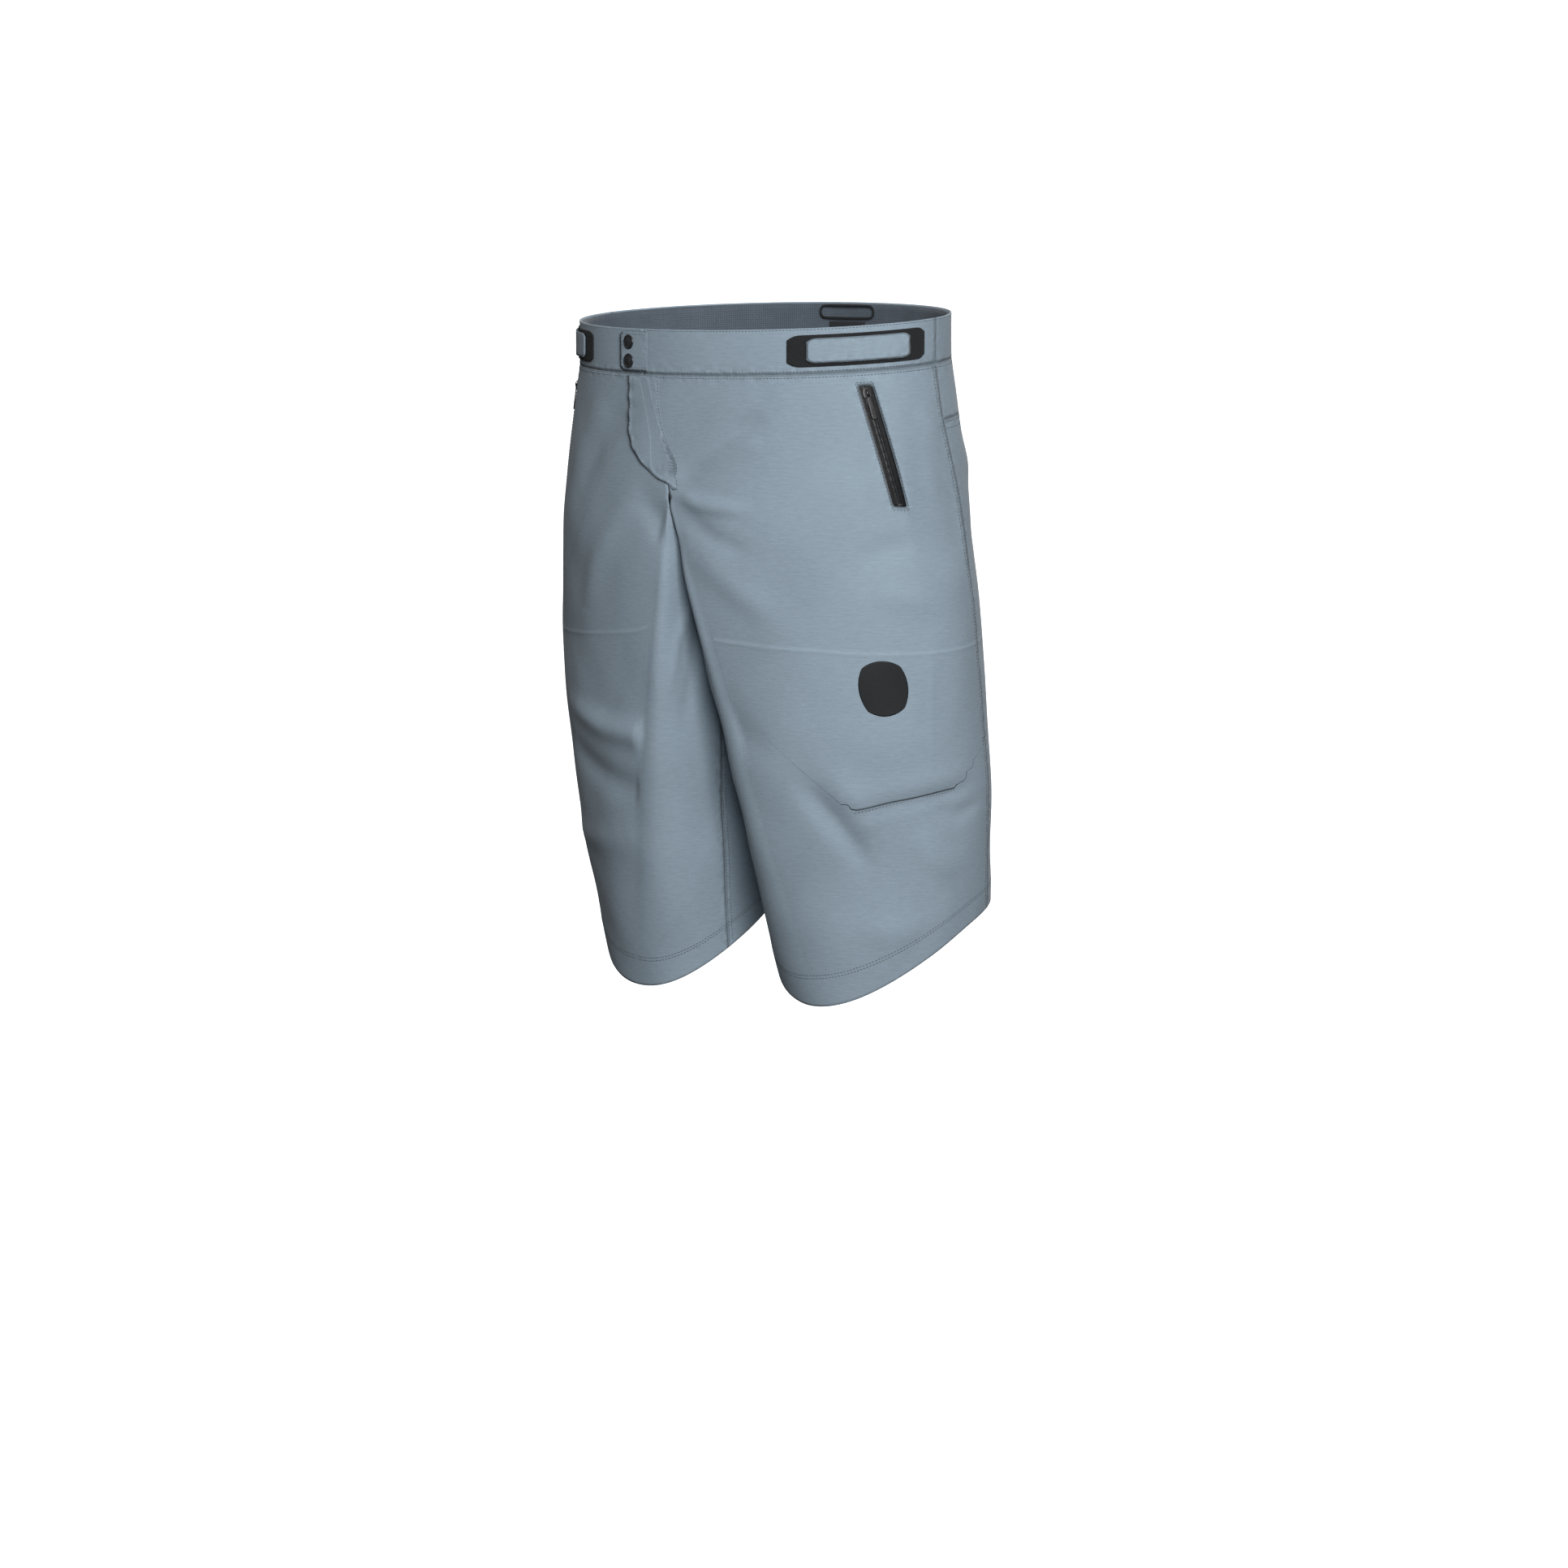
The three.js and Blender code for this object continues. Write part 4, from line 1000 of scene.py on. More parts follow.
def coated_tape():
    """Zip tape with a matte rubbery coat: its weave shows faintly, and it wears at its edge."""
    paint = Paint("coated_tape", colours().coated, 0.5, coat=0.08, specular=0.4)
    place = paint.place((1.0, 1.0, 1.0), cloth=True)
    twill = paint.wave(paint.split(place, 0) + paint.split(place, 1), 900.0)
    uneven = paint.noise((300.0, 300.0, 300.0), detail=3.0)
    worn = paint.bell(paint.fact("edge"), 0.0009) * uneven
    paint.feed("Base Color", paint.shade(uneven * 0.6 + twill * 0.15 + worn * 0.8, 0.5))
    paint.feed("Roughness", uneven * 0.25 + 0.36)
    paint.bump(twill * 0.4 + uneven, 0.00018)
    return paint.material


def painted_metal(name, base, roughness, metallic):
    """Small die-cast or pressed hardware: fine pitting and rubbed patches."""
    paint = Paint(name, base, roughness, metallic=metallic, coat=0.12)
    pits = paint.noise((2200.0, 2200.0, 2200.0), detail=2.0)
    rub = paint.noise((260.0, 260.0, 260.0), detail=3.0)
    paint.feed("Base Color", paint.shade(spread_round(rub, 1.6), 0.4))
    paint.feed("Roughness", rub * 0.3 + (roughness - 0.12))
    paint.bump(pits, 0.00005)
    return paint.material


def transfer_print():
    """A matte transfer film: it takes on the weave below, with a thin worn edge."""
    paint = Paint("transfer_print", colours().ink, 0.62, specular=0.35)
    slub = paint.noise((150.0, 1500.0, 1.0), cloth=True, detail=3.0)
    cracks = paint.noise((900.0, 900.0, 900.0), detail=4.0)
    edge = paint.bell(paint.fact("edge"), 0.0006) * cracks
    paint.feed("Base Color", paint.shade(slub * 0.8 + edge, 0.5))
    paint.feed("Roughness", slub * 0.25 + 0.5)
    paint.bump(slub, 0.0001)
    return paint.material


def sewing_thread():
    """Twisted thread: a diagonal rope of fine strands."""
    paint = Paint("sewing_thread", colours().thread, 0.7, sheen=0.1, specular=0.35)
    place = paint.place((1.0, 1.0, 1.0))
    twist = paint.wave(paint.split(place, 0) + paint.split(place, 2), 2400.0)
    uneven = paint.noise((400.0, 400.0, 400.0))
    paint.feed("Base Color", paint.shade(twist * 0.2 + uneven, 0.35))
    paint.feed("Roughness", uneven * 0.2 + 0.6)
    paint.bump(twist, 0.0001)
    return paint.material


def studio_floor():
    """Pale paper sweep with a very faint unevenness."""
    paint = Paint("studio_floor", colours().floor, 0.9, specular=0.1)
    mottle = paint.noise((1.5, 1.5, 1.5), detail=3.0)
    paint.feed("Base Color", paint.shade(mottle, 0.012))
    paint.feed("Roughness", mottle * 0.06 + 0.87)
    paint.shader.inputs["Emission Color"].default_value = (1.0, 1.0, 1.0, 1.0)
    paint.shader.inputs["Emission Strength"].default_value = BACKDROP_GLOW
    return paint.material


FINISH = {}
LABEL_COLOUR = (0.03, 0.032, 0.035)


def finish_of(name):
    """A finish, made when a piece first asks for it."""
    c = colours()
    makers = {
        "cloth": shell_cloth,
        "lining": mesh_lining,
        "tape": coated_tape,
        "webbing": lambda: plain_cloth("webbing", c.webbing, 620.0, 0.5, 0.72, 0.0003),
        "hook": lambda: plain_cloth("hook_tape", c.webbing, 420.0, 0.6, 0.8, 0.0006),
        "label": lambda: plain_cloth("satin_label", LABEL_COLOUR, 1500.0, 0.3, 0.5, 0.0001),
        "zip": lambda: painted_metal("zip_metal", c.metal, 0.42, 0.35),
        "snap": lambda: painted_metal("snap_metal", c.snap, 0.34, 0.9),
        "ink": transfer_print,
        "thread": sewing_thread,
        "floor": studio_floor,
    }
    if name not in FINISH:
        FINISH[name] = makers[name]()
    return FINISH[name]


# ---- Cloth pieces cut from the net -----------------------------------------------------
# The draped shell, once its operator has made it; spot() and cut_piece() read it.
SHELL = None


def nearest_line(net, lines):
    """Distance to the nearest of one side's lines, below nought on one side of the line.

    The sign keeps the line itself sharp between the points of the grid.
    """
    found = np.full(net.angle.shape, 1.0)
    for side, spots in lines:
        if side == net.side:
            gap, across, _ = line_distance(net.angle, net.level, spots)
            beside_it = np.abs(across) > 0.7 * gap
            signed = np.where(beside_it, np.copysign(gap, across), gap)
            found = np.where(gap < np.abs(found), signed, found)
    return found


def cut_piece(name, choices):
    """A piece of the shell's cells that the choices pick, one choice for each net it lies on.

    A choice is a net's key and a true or false for each cell.
    """
    cells, maps, total = [], [], len(SHELL.point)
    facts = {key: np.full(total, 1.0) for key in ("sewn", "press", "dart")}
    for key, chosen in choices:
        net = SHELL.nets[key]
        cells.append(SHELL.quads[key][chosen])
        place = np.stack([net.round * HAND[net.side], net.along(SHELL.point)[..., 2]], -1)
        corner = np.stack([place[:-1, :-1], place[1:, :-1], place[1:, 1:], place[:-1, 1:]], -2)
        corner = corner if net.side == LEFT else corner[:, :, ::-1]
        maps.append(corner[chosen])
        facts["sewn"][net.index] = np.minimum(facts["sewn"][net.index], net.sewn)
        for fact, lines in (("press", PRESSED), ("dart", [(LEFT, DART)])):
            new = nearest_line(net, lines)
            old = facts[fact][net.index]
            facts[fact][net.index] = np.where(np.abs(new) < np.abs(old), new, old)
    cells = np.concatenate(cells)
    used, faces = np.unique(cells, return_inverse=True)
    kept = {key: values[used] for key, values in facts.items()}
    uv = np.concatenate(maps).reshape(-1, 2)
    return new_mesh(name, SHELL.point[used], faces.reshape(-1, 4), uv, kept)


def middles(net):
    """Angle and level at the middle of each cell of a net."""
    return tuple(
        0.25 * (grid[:-1, :-1] + grid[1:, :-1] + grid[1:, 1:] + grid[:-1, 1:])
        for grid in (net.angle, net.level))


def is_front(net):
    """True for a net's cells in front of the side seam and the inseam."""
    angle, level = middles(net)
    column = np.arange(angle.shape[1])[None, :]
    inner = column > HALF + INSEAM_COLUMNS[0] - 1
    return ((column < SEAM_COLUMN) | inner) & (level > -9.0)


class SHORTS_OT_shell(bpy.types.Operator):
    """Drapes the shell and cuts its panels, yoke and outer waistband"""

    bl_idname = "shorts.shell"
    bl_label = "Shell panels"

    def execute(self, context):
        global SHELL
        SHELL = drape()
        cloth = finish_of("cloth")
        thickness = cut().cloth
        for side in SIDES:
            body, leg = SHELL.nets["body", side], SHELL.nets["leg", side]
            angle, level = middles(body)
            front, leg_front = is_front(body), is_front(leg)
            slot = (np.abs(angle - zip_angle(level)) < slot_half(level)) & (level > SLOT_LEVELS[0])
            slot = slot & (level < SLOT_LEVELS[1])
            below = level > 0.0
            panel = cut_piece(f"front_panel_{side}_cloth", [
                (("body", side), front & below & ~slot), (("leg", side), leg_front)])
            thicken(panel, thickness, levels=1)
            finish(panel, cloth, "shorts", "shell_fabric", f"front_panel_{side}")
            declare(panel)
            panel = cut_piece(f"back_panel_{side}_cloth", [
                (("body", side), ~front & (level > YOKE_LEVEL)), (("leg", side), ~leg_front)])
            thicken(panel, thickness, levels=1)
            finish(panel, cloth, "shorts", "shell_fabric", f"back_panel_{side}")
            declare(panel)
            band = cut_piece(f"waistband_front_{side}_cloth", [(("body", side), front & ~below)])
            thicken(band, 1.5 * MM, levels=1)
            finish(band, cloth, "shorts", "shell_fabric", f"waistband_front_{side}")
            declare(band)
        yoke, band = [], []
        for side in SIDES:
            net = SHELL.nets["body", side]
            _, level = middles(net)
            back = ~is_front(net)
            yoke.append((("body", side), back & (level > 0.0) & (level < YOKE_LEVEL)))
            band.append((("body", side), back & (level < 0.0)))
        piece = thicken(cut_piece("back_yoke_cloth", yoke), thickness, levels=1)
        declare(finish(piece, cloth, "shorts", "shell_fabric", "back_yoke"))
        piece = thicken(cut_piece("waistband_back_cloth", band), 1.5 * MM, levels=1)
        declare(finish(piece, cloth, "shorts", "shell_fabric", "waistband_back"))
        return {"FINISHED"}


class SHORTS_OT_inside(bpy.types.Operator):
    """Lays in the hem facings, the pocket bags and the mesh lining of the band"""

    bl_idname = "shorts.inside"
    bl_label = "Facings, bags and lining"

    def execute(self, context):
        for side in SIDES:
            depth = HEM_FACING / LEG_HEIGHT
            rim = patch(side, lambda u, w: mix(-89.0, 268.0, u),
                        lambda u, w: mix(HEM - depth, HEM - 0.003, w), -1.9 * MM, (140, 6))
            rim = rim[:, ::-1] if side == RIGHT else rim
            facing = thicken(grid_mesh(f"hem_facing_{side}_cloth", rim), 0.8 * MM)
            finish(facing, finish_of("cloth"), "shorts", "shell_fabric", f"hem_facing_{side}")
            declare(facing)

            def sag(u, w):
                """Full in the middle and close to the panel all round its edge."""
                swell = (np.sin(np.pi * u) * np.sin(np.pi * w)) ** 0.35
                hang = 0.9 * MM * np.sin(9.0 * u + 4.0 * w) * swell
                return -mix(2.6 * MM, BAG["full"], swell) + hang

            rows = patch(side, lambda u, w: mix(BAG["front"], BAG["rear"], u),
                         lambda u, w: mix(BAG["top"], BAG["bottom"], w), sag, (40, 40))
            rows = rows[:, ::-1] if side == RIGHT else rows
            bag = thicken(grid_mesh(f"pocket_bag_{side}_cloth", rows), 0.5 * MM, levels=1)
            finish(bag, finish_of("lining"), "shorts", "lining_fabric", f"pocket_bag_{side}")
            declare(bag)
        band = lining_grid()
        lining = thicken(grid_mesh("waistband_lining_cloth", band), 0.8 * MM)
        finish(lining, finish_of("lining"), "shorts", "lining_fabric", "waistband_lining")
        declare(lining)
        return {"FINISHED"}


def lining_grid():
    """The band's lining: a strip inside it, from one side of the opening round to the other."""
    opening = float(angle_at(FLY_X[0], 0.0))
    turn = np.linspace(opening + 4.0, opening + 356.0, 200)
    u, w = np.meshgrid(turn, np.linspace(-0.97, -0.04, 8))
    half = u > 90.0
    left = spot(LEFT, np.where(half, 0.0, u), w, -3.1 * MM)
    right = spot(RIGHT, np.where(half, 180.0 - u, 0.0), w, -3.1 * MM)
    return np.where(half[..., None], right, left)


# ---- Fly -------------------------------------------------------------------------------
def flap_x(u, w):
    """Across the flap: its slanting stitch line at u 0, its curved free edge at u 1."""
    stitch = mix(FLAP["stitch"], FLAP["tip"] + 1.5 * MM, w**1.7)
    sweep = np.clip((w - 0.35) / 0.65, 0.0, 1.0) ** 2.2
    return mix(stitch, mix(FLAP["edge"], FLAP["tip"] - 1.5 * MM, sweep), u)


def flap_level(w):
    """Down the flap, from below the band to its tip."""
    return mix(FLAP["top"], FLAP["bottom"], w)


class SHORTS_OT_fly(bpy.types.Operator):
    """Makes the fly's flap, its shield and the waist tab"""

    bl_idname = "shorts.fly"
    bl_label = "Fly and waist tab"

    def execute(self, context):
        cloth = finish_of("cloth")
        u, w = np.meshgrid(np.linspace(0, 1, 34), np.linspace(0, 1, 70))
        x, level = flap_x(u, w), flap_level(w)
        rolled = 0.45 * MM * np.exp(-(((1.0 - u) / 0.07) ** 2))
        ripple = 0.35 * MM * np.sin(w * 44.0) * np.exp(-(((1.0 - u) / 0.22) ** 2))
        lift = mix(0.35 * MM, 1.75 * MM, u**0.8) + rolled + ripple
        rows = spot(LEFT, angle_at(x, level), level, lift)[:, ::-1]
        flap = thicken(grid_mesh("fly_flap_cloth", rows), 1.1 * MM, levels=1)
        finish(flap, cloth, "fly_flap", "shell_fabric", "fly_flap")
        declare(flap)
        u, w = np.meshgrid(np.linspace(0, 1, 20), np.linspace(0, 1, 12))
        across = mix(TAB["end"], TAB["sewn"], u)
        margin = TAB["margin"] / cut().band
        round_end = 1.0 - 0.22 * np.clip((0.18 - u) / 0.18, 0.0, 1.0) ** 2
        down = -0.5 + (w - 0.5) * (1.0 - 2.0 * margin) * round_end
        rows = spot(LEFT, angle_at(across, 0.0), down, 1.75 * MM)
        tab = thicken(grid_mesh("waist_tab_cloth", rows), 1.2 * MM, levels=1)
        finish(tab, cloth, "fly_flap", "shell_fabric", "waist_tab")
        declare(tab)
        here = ZipFrame("fly_zip")
        u, w = np.meshgrid(np.linspace(-1, 1, 16), np.linspace(-0.5, 0.5, 40))
        curl = -2.6 * MM - 0.6 * MM * u**2 + 0.25 * MM * np.sin(w * 30.0)
        rows = here.place(u * 19 * MM, -w * here.length, curl)
        shield = thicken(grid_mesh("fly_shield_cloth", rows), 0.7 * MM)
        finish(shield, finish_of("lining"), "shorts", "lining_fabric", "fly_shield")
        declare(shield)
        return {"FINISHED"}


# ---- Zips ------------------------------------------------------------------------------
PIVOT_LIFT = 4.15 * MM
POCKET_SLIDER_RISE = 1.9 * MM
# A slider's two plates, in millimetres: height from its middle, then width and length.
SLIDER_PLATES = ((1.25, (9.0, 10.0)), (-1.35, (8.6, 9.6)))
PLATE_THICKNESS = 0.7 * MM
BRIDGE_WIRE = 0.42 * MM
STOP_ABOVE_END = 5.0 * MM


class ZipFrame:
    """Where a zip lies: x across, y up it and z out, from its joints and its tapes' own box."""

    def __init__(self, name):
        joints = {j["name"]: j for j in frame["joints"]}
        swing = joints[f"{name}_puller_swing"]
        slide = joints[f"{name}_slide"]
        self.x = unit(-np.array(swing["axis"], float))
        self.y = unit(-np.array(slide["axis"], float))
        self.z = np.cross(self.x, self.y)
        self.pivot = np.array(swing["pos_m"], float)
        low, high = (np.array(c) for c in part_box(f"{name}_tape_a"))
        low_b, high_b = (np.array(c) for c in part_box(f"{name}_tape_b"))
        middle = 0.5 * (np.minimum(low, low_b) + np.maximum(high, high_b))
        self.slider = self.pivot - PIVOT_LIFT * self.z
        rise = (middle - self.slider) @ self.y
        self.centre = self.slider + rise * self.y
        spot_below_top = 9 * MM if name == "fly_zip" else 10 * MM
        self.length = 2.0 * ((self.slider - self.centre) @ self.y + spot_below_top)

    def place(self, x, y, z, origin=None):
        """Points from coordinates in the zip's own frame."""
        start = self.centre if origin is None else origin
        return start + x[..., None] * self.x + y[..., None] * self.y + z[..., None] * self.z


def slab(width, height, thickness, power=4.0, rim=0.25, rings=5, around=40):
    """A closed rounded slab: a superellipse outline carried over a rounded edge.

    Rings shrink towards the middle of each face, where the last ring is shut.
    """
    t = np.linspace(0.0, 2.0 * np.pi, around, endpoint=False)
    cosine, sine = np.cos(t), np.sin(t)
    outline = (np.abs(cosine) ** power + np.abs(sine) ** power) ** (-1.0 / power)
    turn = np.linspace(-np.pi / 2, np.pi / 2, rings)
    edge = rim * thickness
    inset = np.concatenate([[0.02, 0.5], np.ones(rings), [0.5, 0.02]])
    shrink = np.concatenate([[0.0, 0.0], edge * (1.0 - np.cos(turn)), [0.0, 0.0]])
    up = np.concatenate([
        [-thickness / 2, -thickness / 2],
        np.sin(turn) * edge + np.sign(turn) * (thickness / 2 - edge),
        [thickness / 2, thickness / 2],
    ])
    x = (width / 2 * inset - shrink)[:, None] * (outline * cosine)[None, :]
    y = (height / 2 * inset - shrink)[:, None] * (outline * sine)[None, :]
    z = np.repeat(up[:, None], around, 1)
    return x, y, z


def ring_faces(rows, columns):
    """Quads of a closed tube of rings, in outward order for rings that climb anticlockwise."""
    index = np.arange(rows * columns).reshape(rows, columns)
    index = np.concatenate([index, index[:, :1]], 1)
    cells = np.stack([index[:-1, :-1], index[:-1, 1:], index[1:, 1:], index[1:, :-1]], -1)
    return cells.reshape(-1, 4)


def shut_tube(points):
    """Points and faces of a tube whose two end rings are closed by a point each."""
    rows, columns = points.shape[:2]
    faces = ring_faces(rows, columns)
    flat = points.reshape(-1, 3)
    ends = np.stack([points[0].mean(0), points[-1].mean(0)])
    first = np.arange(columns)
    after = np.roll(first, -1)
    low, high = len(flat), len(flat) + 1
    last = (rows - 1) * columns
    caps = np.concatenate([
        np.stack([np.full(columns, low), after, first], -1),
        np.stack([np.full(columns, high), last + first, last + after], -1),
    ])
    return np.concatenate([flat, ends]), faces, caps


def solid_piece(name, shapes):
    """One mesh of closed shapes: each is a tube of rings, shut at both ends."""
    points, quads, caps, total = [], [], [], 0
    for rings in shapes:
        p, q, c = shut_tube(rings)
        points.append(p)
        quads.append(q + total)
        caps.append(c + total)
        total += len(p)
    mesh = bpy.data.meshes.new(name)
    faces = np.concatenate(quads).tolist() + np.concatenate(caps).tolist()
    mesh.from_pydata(np.concatenate(points).tolist(), [], faces)
    mesh.polygons.foreach_set("use_smooth", np.ones(len(mesh.polygons), bool))
    mesh.update()
    piece = bpy.data.objects.new(name, mesh)
    bpy.context.collection.objects.link(piece)
    return piece


def coil_ridge(across, along):
    """Height of a tape over the hidden coil: a low bead near its inner edge, faintly toothed."""
    bead = np.exp(-(((across - 1.0 * MM) / (0.9 * MM)) ** 2))
    return bead * (0.3 * MM + 0.06 * MM * np.sin(along / (1.25 * MM) * 2.0 * np.pi))


def straight_tape(here, hand):
    """One tape of the fly's zip: a flat strip whose inner edge rises over the coil."""
    across = np.concatenate([np.linspace(0.12, 2.4, 9), np.linspace(3.0, 10.8, 8)]) * MM
    u, w = np.meshgrid(across, np.linspace(-0.5, 0.5, 90))
    rows = here.place(hand * u, -w * here.length, coil_ridge(u, w * here.length) - 0.1 * MM)
    return rows if hand > 0 else rows[:, ::-1]


def pocket_tape(side, hand):
    """One tape of a pocket's zip: it follows the cloth, just below it in the slot.

    Beyond the slot's edge it dips to lie behind the panel.
    """
    across = MM * np.concatenate([
        np.linspace(0.1, 2.4, 9), np.linspace(3.2, 6.0, 4), [7.4, 9.0, 10.8]])
    u, w = np.meshgrid(across, np.linspace(ZIP_TOP[1] + 0.004, ZIP_BOTTOM[1] - 0.004, 90))
    edge = SLOT_HALF * (1.0 + SLOT_SPREAD * w)
    sunk = TAPE_LIFT - 1.0 * MM * step(edge - 0.2 * MM, edge + 1.0 * MM, u)
    ends = step(SLOT_LEVELS[0] - 0.012, SLOT_LEVELS[0] + 0.01, w)
    ends = ends * (1.0 - step(SLOT_LEVELS[1] - 0.01, SLOT_LEVELS[1] + 0.01, w))
    lift = sunk - 0.9 * MM * (1.0 - ends) + coil_ridge(u, w * BODY_HEIGHT) * ends
    rows = spot(side, zip_angle(w) + hand * np.degrees(u / SLOT_ROUND), w, lift)
    return rows if hand * HAND[side] > 0 else rows[:, ::-1]


class SHORTS_OT_zips(bpy.types.Operator):
    """Makes the three zips: tapes, sliders, pullers and bottom stops"""

    bl_idname = "shorts.zips"
    bl_label = "Zips"

    def execute(self, context):
        tape, metal = finish_of("tape"), finish_of("zip")
        for name in ("pocket_zip_left", "pocket_zip_right", "fly_zip"):
            here = ZipFrame(name)
            for letter, hand in (("a", 1.0), ("b", -1.0)):
                if name == "fly_zip":
                    rows = straight_tape(here, hand)
                else:
                    rows = pocket_tape(name.rsplit("_", 1)[1], hand)
                strip = thicken(grid_mesh(f"{name}_tape_{letter}_cloth", rows), 0.6 * MM)
                finish(strip, tape, "shorts", "zip_tape", f"{name}_tape_{letter}")
                declare(strip)
            raised = 0.0 if name == "fly_zip" else POCKET_SLIDER_RISE
            self.slider(here, name, metal, raised)
            self.puller(here, name, metal)
            x, y, z = slab(4.4 * MM, 2.6 * MM, 1.6 * MM, 3.0)
            low = -here.length / 2 + STOP_ABOVE_END
            block = here.place(x, y + low, z + raised * 0.4)
            stop = solid_piece(f"{name}_bottom_stop_metal", [block])
            finish(stop, metal, "shorts", "zip_metal", f"{name}_bottom_stop")
        return {"FINISHED"}

    def slider(self, here, name, metal, raised):
        """Two plates joined by a block, with a wire bridge over the top for the puller."""
        at = here.slider + raised * here.z
        plates = []
        for height, size in SLIDER_PLATES:
            x, y, z = slab(size[0] * MM, size[1] * MM, PLATE_THICKNESS, 3.0)
            taper = 1.0 - 0.16 * (y / (size[1] * MM) + 0.5)
            plates.append(here.place(x * taper, y, z + height * MM, at))
        x, y, z = slab(2.0 * MM, 3.4 * MM, 2.2 * MM, 2.4)
        plates.append(here.place(x, y + 2.6 * MM, z, at))
        t = np.linspace(0.0, np.pi, 22)
        ring = np.linspace(0.0, 2.0 * np.pi, 14, endpoint=False)
        arch_y = 2.9 * MM * np.cos(t)[:, None]
        rise = 1.7 * MM + (3.25 * MM - raised) * np.sin(t)[:, None]
        out = (BRIDGE_WIRE * np.sin(ring))[None, :]
        bx = (1.25 * MM * np.cos(ring))[None, :] * np.ones((len(t), 1))
        by = arch_y + out * np.cos(t)[:, None]
        bz = rise + out * np.sin(t)[:, None]
        plates.append(here.place(bx, by, bz, at))
        slider = solid_piece(f"{name}_slider_metal", plates)
        finish(slider, metal, f"{name}_slider", "zip_metal", f"{name}_slider")

    def puller(self, here, name, metal):
        """A tapered pull: a window for the bridge, a waist, and a ribbed grip."""
        box = [np.array(c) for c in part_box(f"{name}_puller")]
        ends = (0, 1)
        reach = np.array([
            (box[i][0], box[j][1], box[k][2]) for i in ends for j in ends for k in ends])
        span = (reach - here.pivot) @ here.y
        bottom = float(span.min()) * 0.97
        s = np.linspace(0.0, 1.0, 40)
        ring = np.linspace(0.0, 2.0 * np.pi, 20, endpoint=False)
        shapes = []
        y = mix(-3.4 * MM, bottom, s)
        round_end = np.sqrt(np.clip(1.0 - np.abs(2 * s - 1) ** 14, 0.01, 1))
        width = mix(2.1 * MM, 2.75 * MM, step(0.1, 0.8, s)) * round_end
        ribs = 0.14 * MM * np.sin(s * 70.0) * step(0.45, 0.5, s) * (1.0 - step(0.9, 0.95, s))
        thick = 0.42 * MM + ribs
        round_x = np.sign(np.cos(ring)) * np.abs(np.cos(ring)) ** 0.6
        round_z = np.sign(np.sin(ring)) * np.abs(np.sin(ring)) ** 0.6
        x = width[:, None] * round_x[None, :]
        z = thick[:, None] * round_z[None, :]
        shapes.append(here.place(x, y[:, None] + 0.0 * x, z, here.pivot)[:, ::-1])
        for hand in (-1.0, 1.0):
            t = np.linspace(0.0, 1.0, 12)
            yy = mix(-4.2 * MM, 0.4 * MM, t)
            xx = hand * (1.95 * MM) + 0.5 * MM * round_x[None, :] + 0.0 * yy[:, None]
            zz = 0.3 * MM * round_z[None, :] + 0.0 * yy[:, None]
            shapes.append(here.place(xx, yy[:, None] + 0.0 * xx, zz, here.pivot))
        t = np.linspace(-1.0, 1.0, 14)
        xx = t[:, None] * 2.3 * MM + 0.0 * round_x[None, :]
        yy = 0.2 * MM + 0.3 * MM * round_x[None, :] + 0.0 * xx
        zz = 0.3 * MM * round_z[None, :] + 0.0 * xx
        shapes.append(here.place(xx, yy, zz, here.pivot))
        puller = solid_piece(f"{name}_puller_metal", shapes)
        recalculate(puller)
        finish(puller, metal, f"{name}_puller", "zip_metal", f"{name}_puller")


def recalculate(piece, join=False):
    """Turns every closed part's faces outwards, after merging doubled points where asked."""
    work = bmesh.new()
    work.from_mesh(piece.data)
    if join:
        bmesh.ops.remove_doubles(work, verts=work.verts, dist=1e-6)
    bmesh.ops.recalc_face_normals(work, faces=work.faces)
    work.to_mesh(piece.data)
    work.free()


# ---- Snaps, adjusters, print, loop and label -------------------------------------------
def turned(profile, origin, x, y, z, around=40):
    """A profile of (radius, height) pairs turned about z at the origin."""
    t = np.linspace(0.0, 2.0 * np.pi, around, endpoint=False)
    radius, height = np.array(profile, float).T * MM
    return (
        origin
        + (radius[:, None] * np.cos(t)[None, :])[..., None] * x
        + (radius[:, None] * np.sin(t)[None, :])[..., None] * y
        + (height[:, None] + 0.0 * t[None, :])[..., None] * z
    )


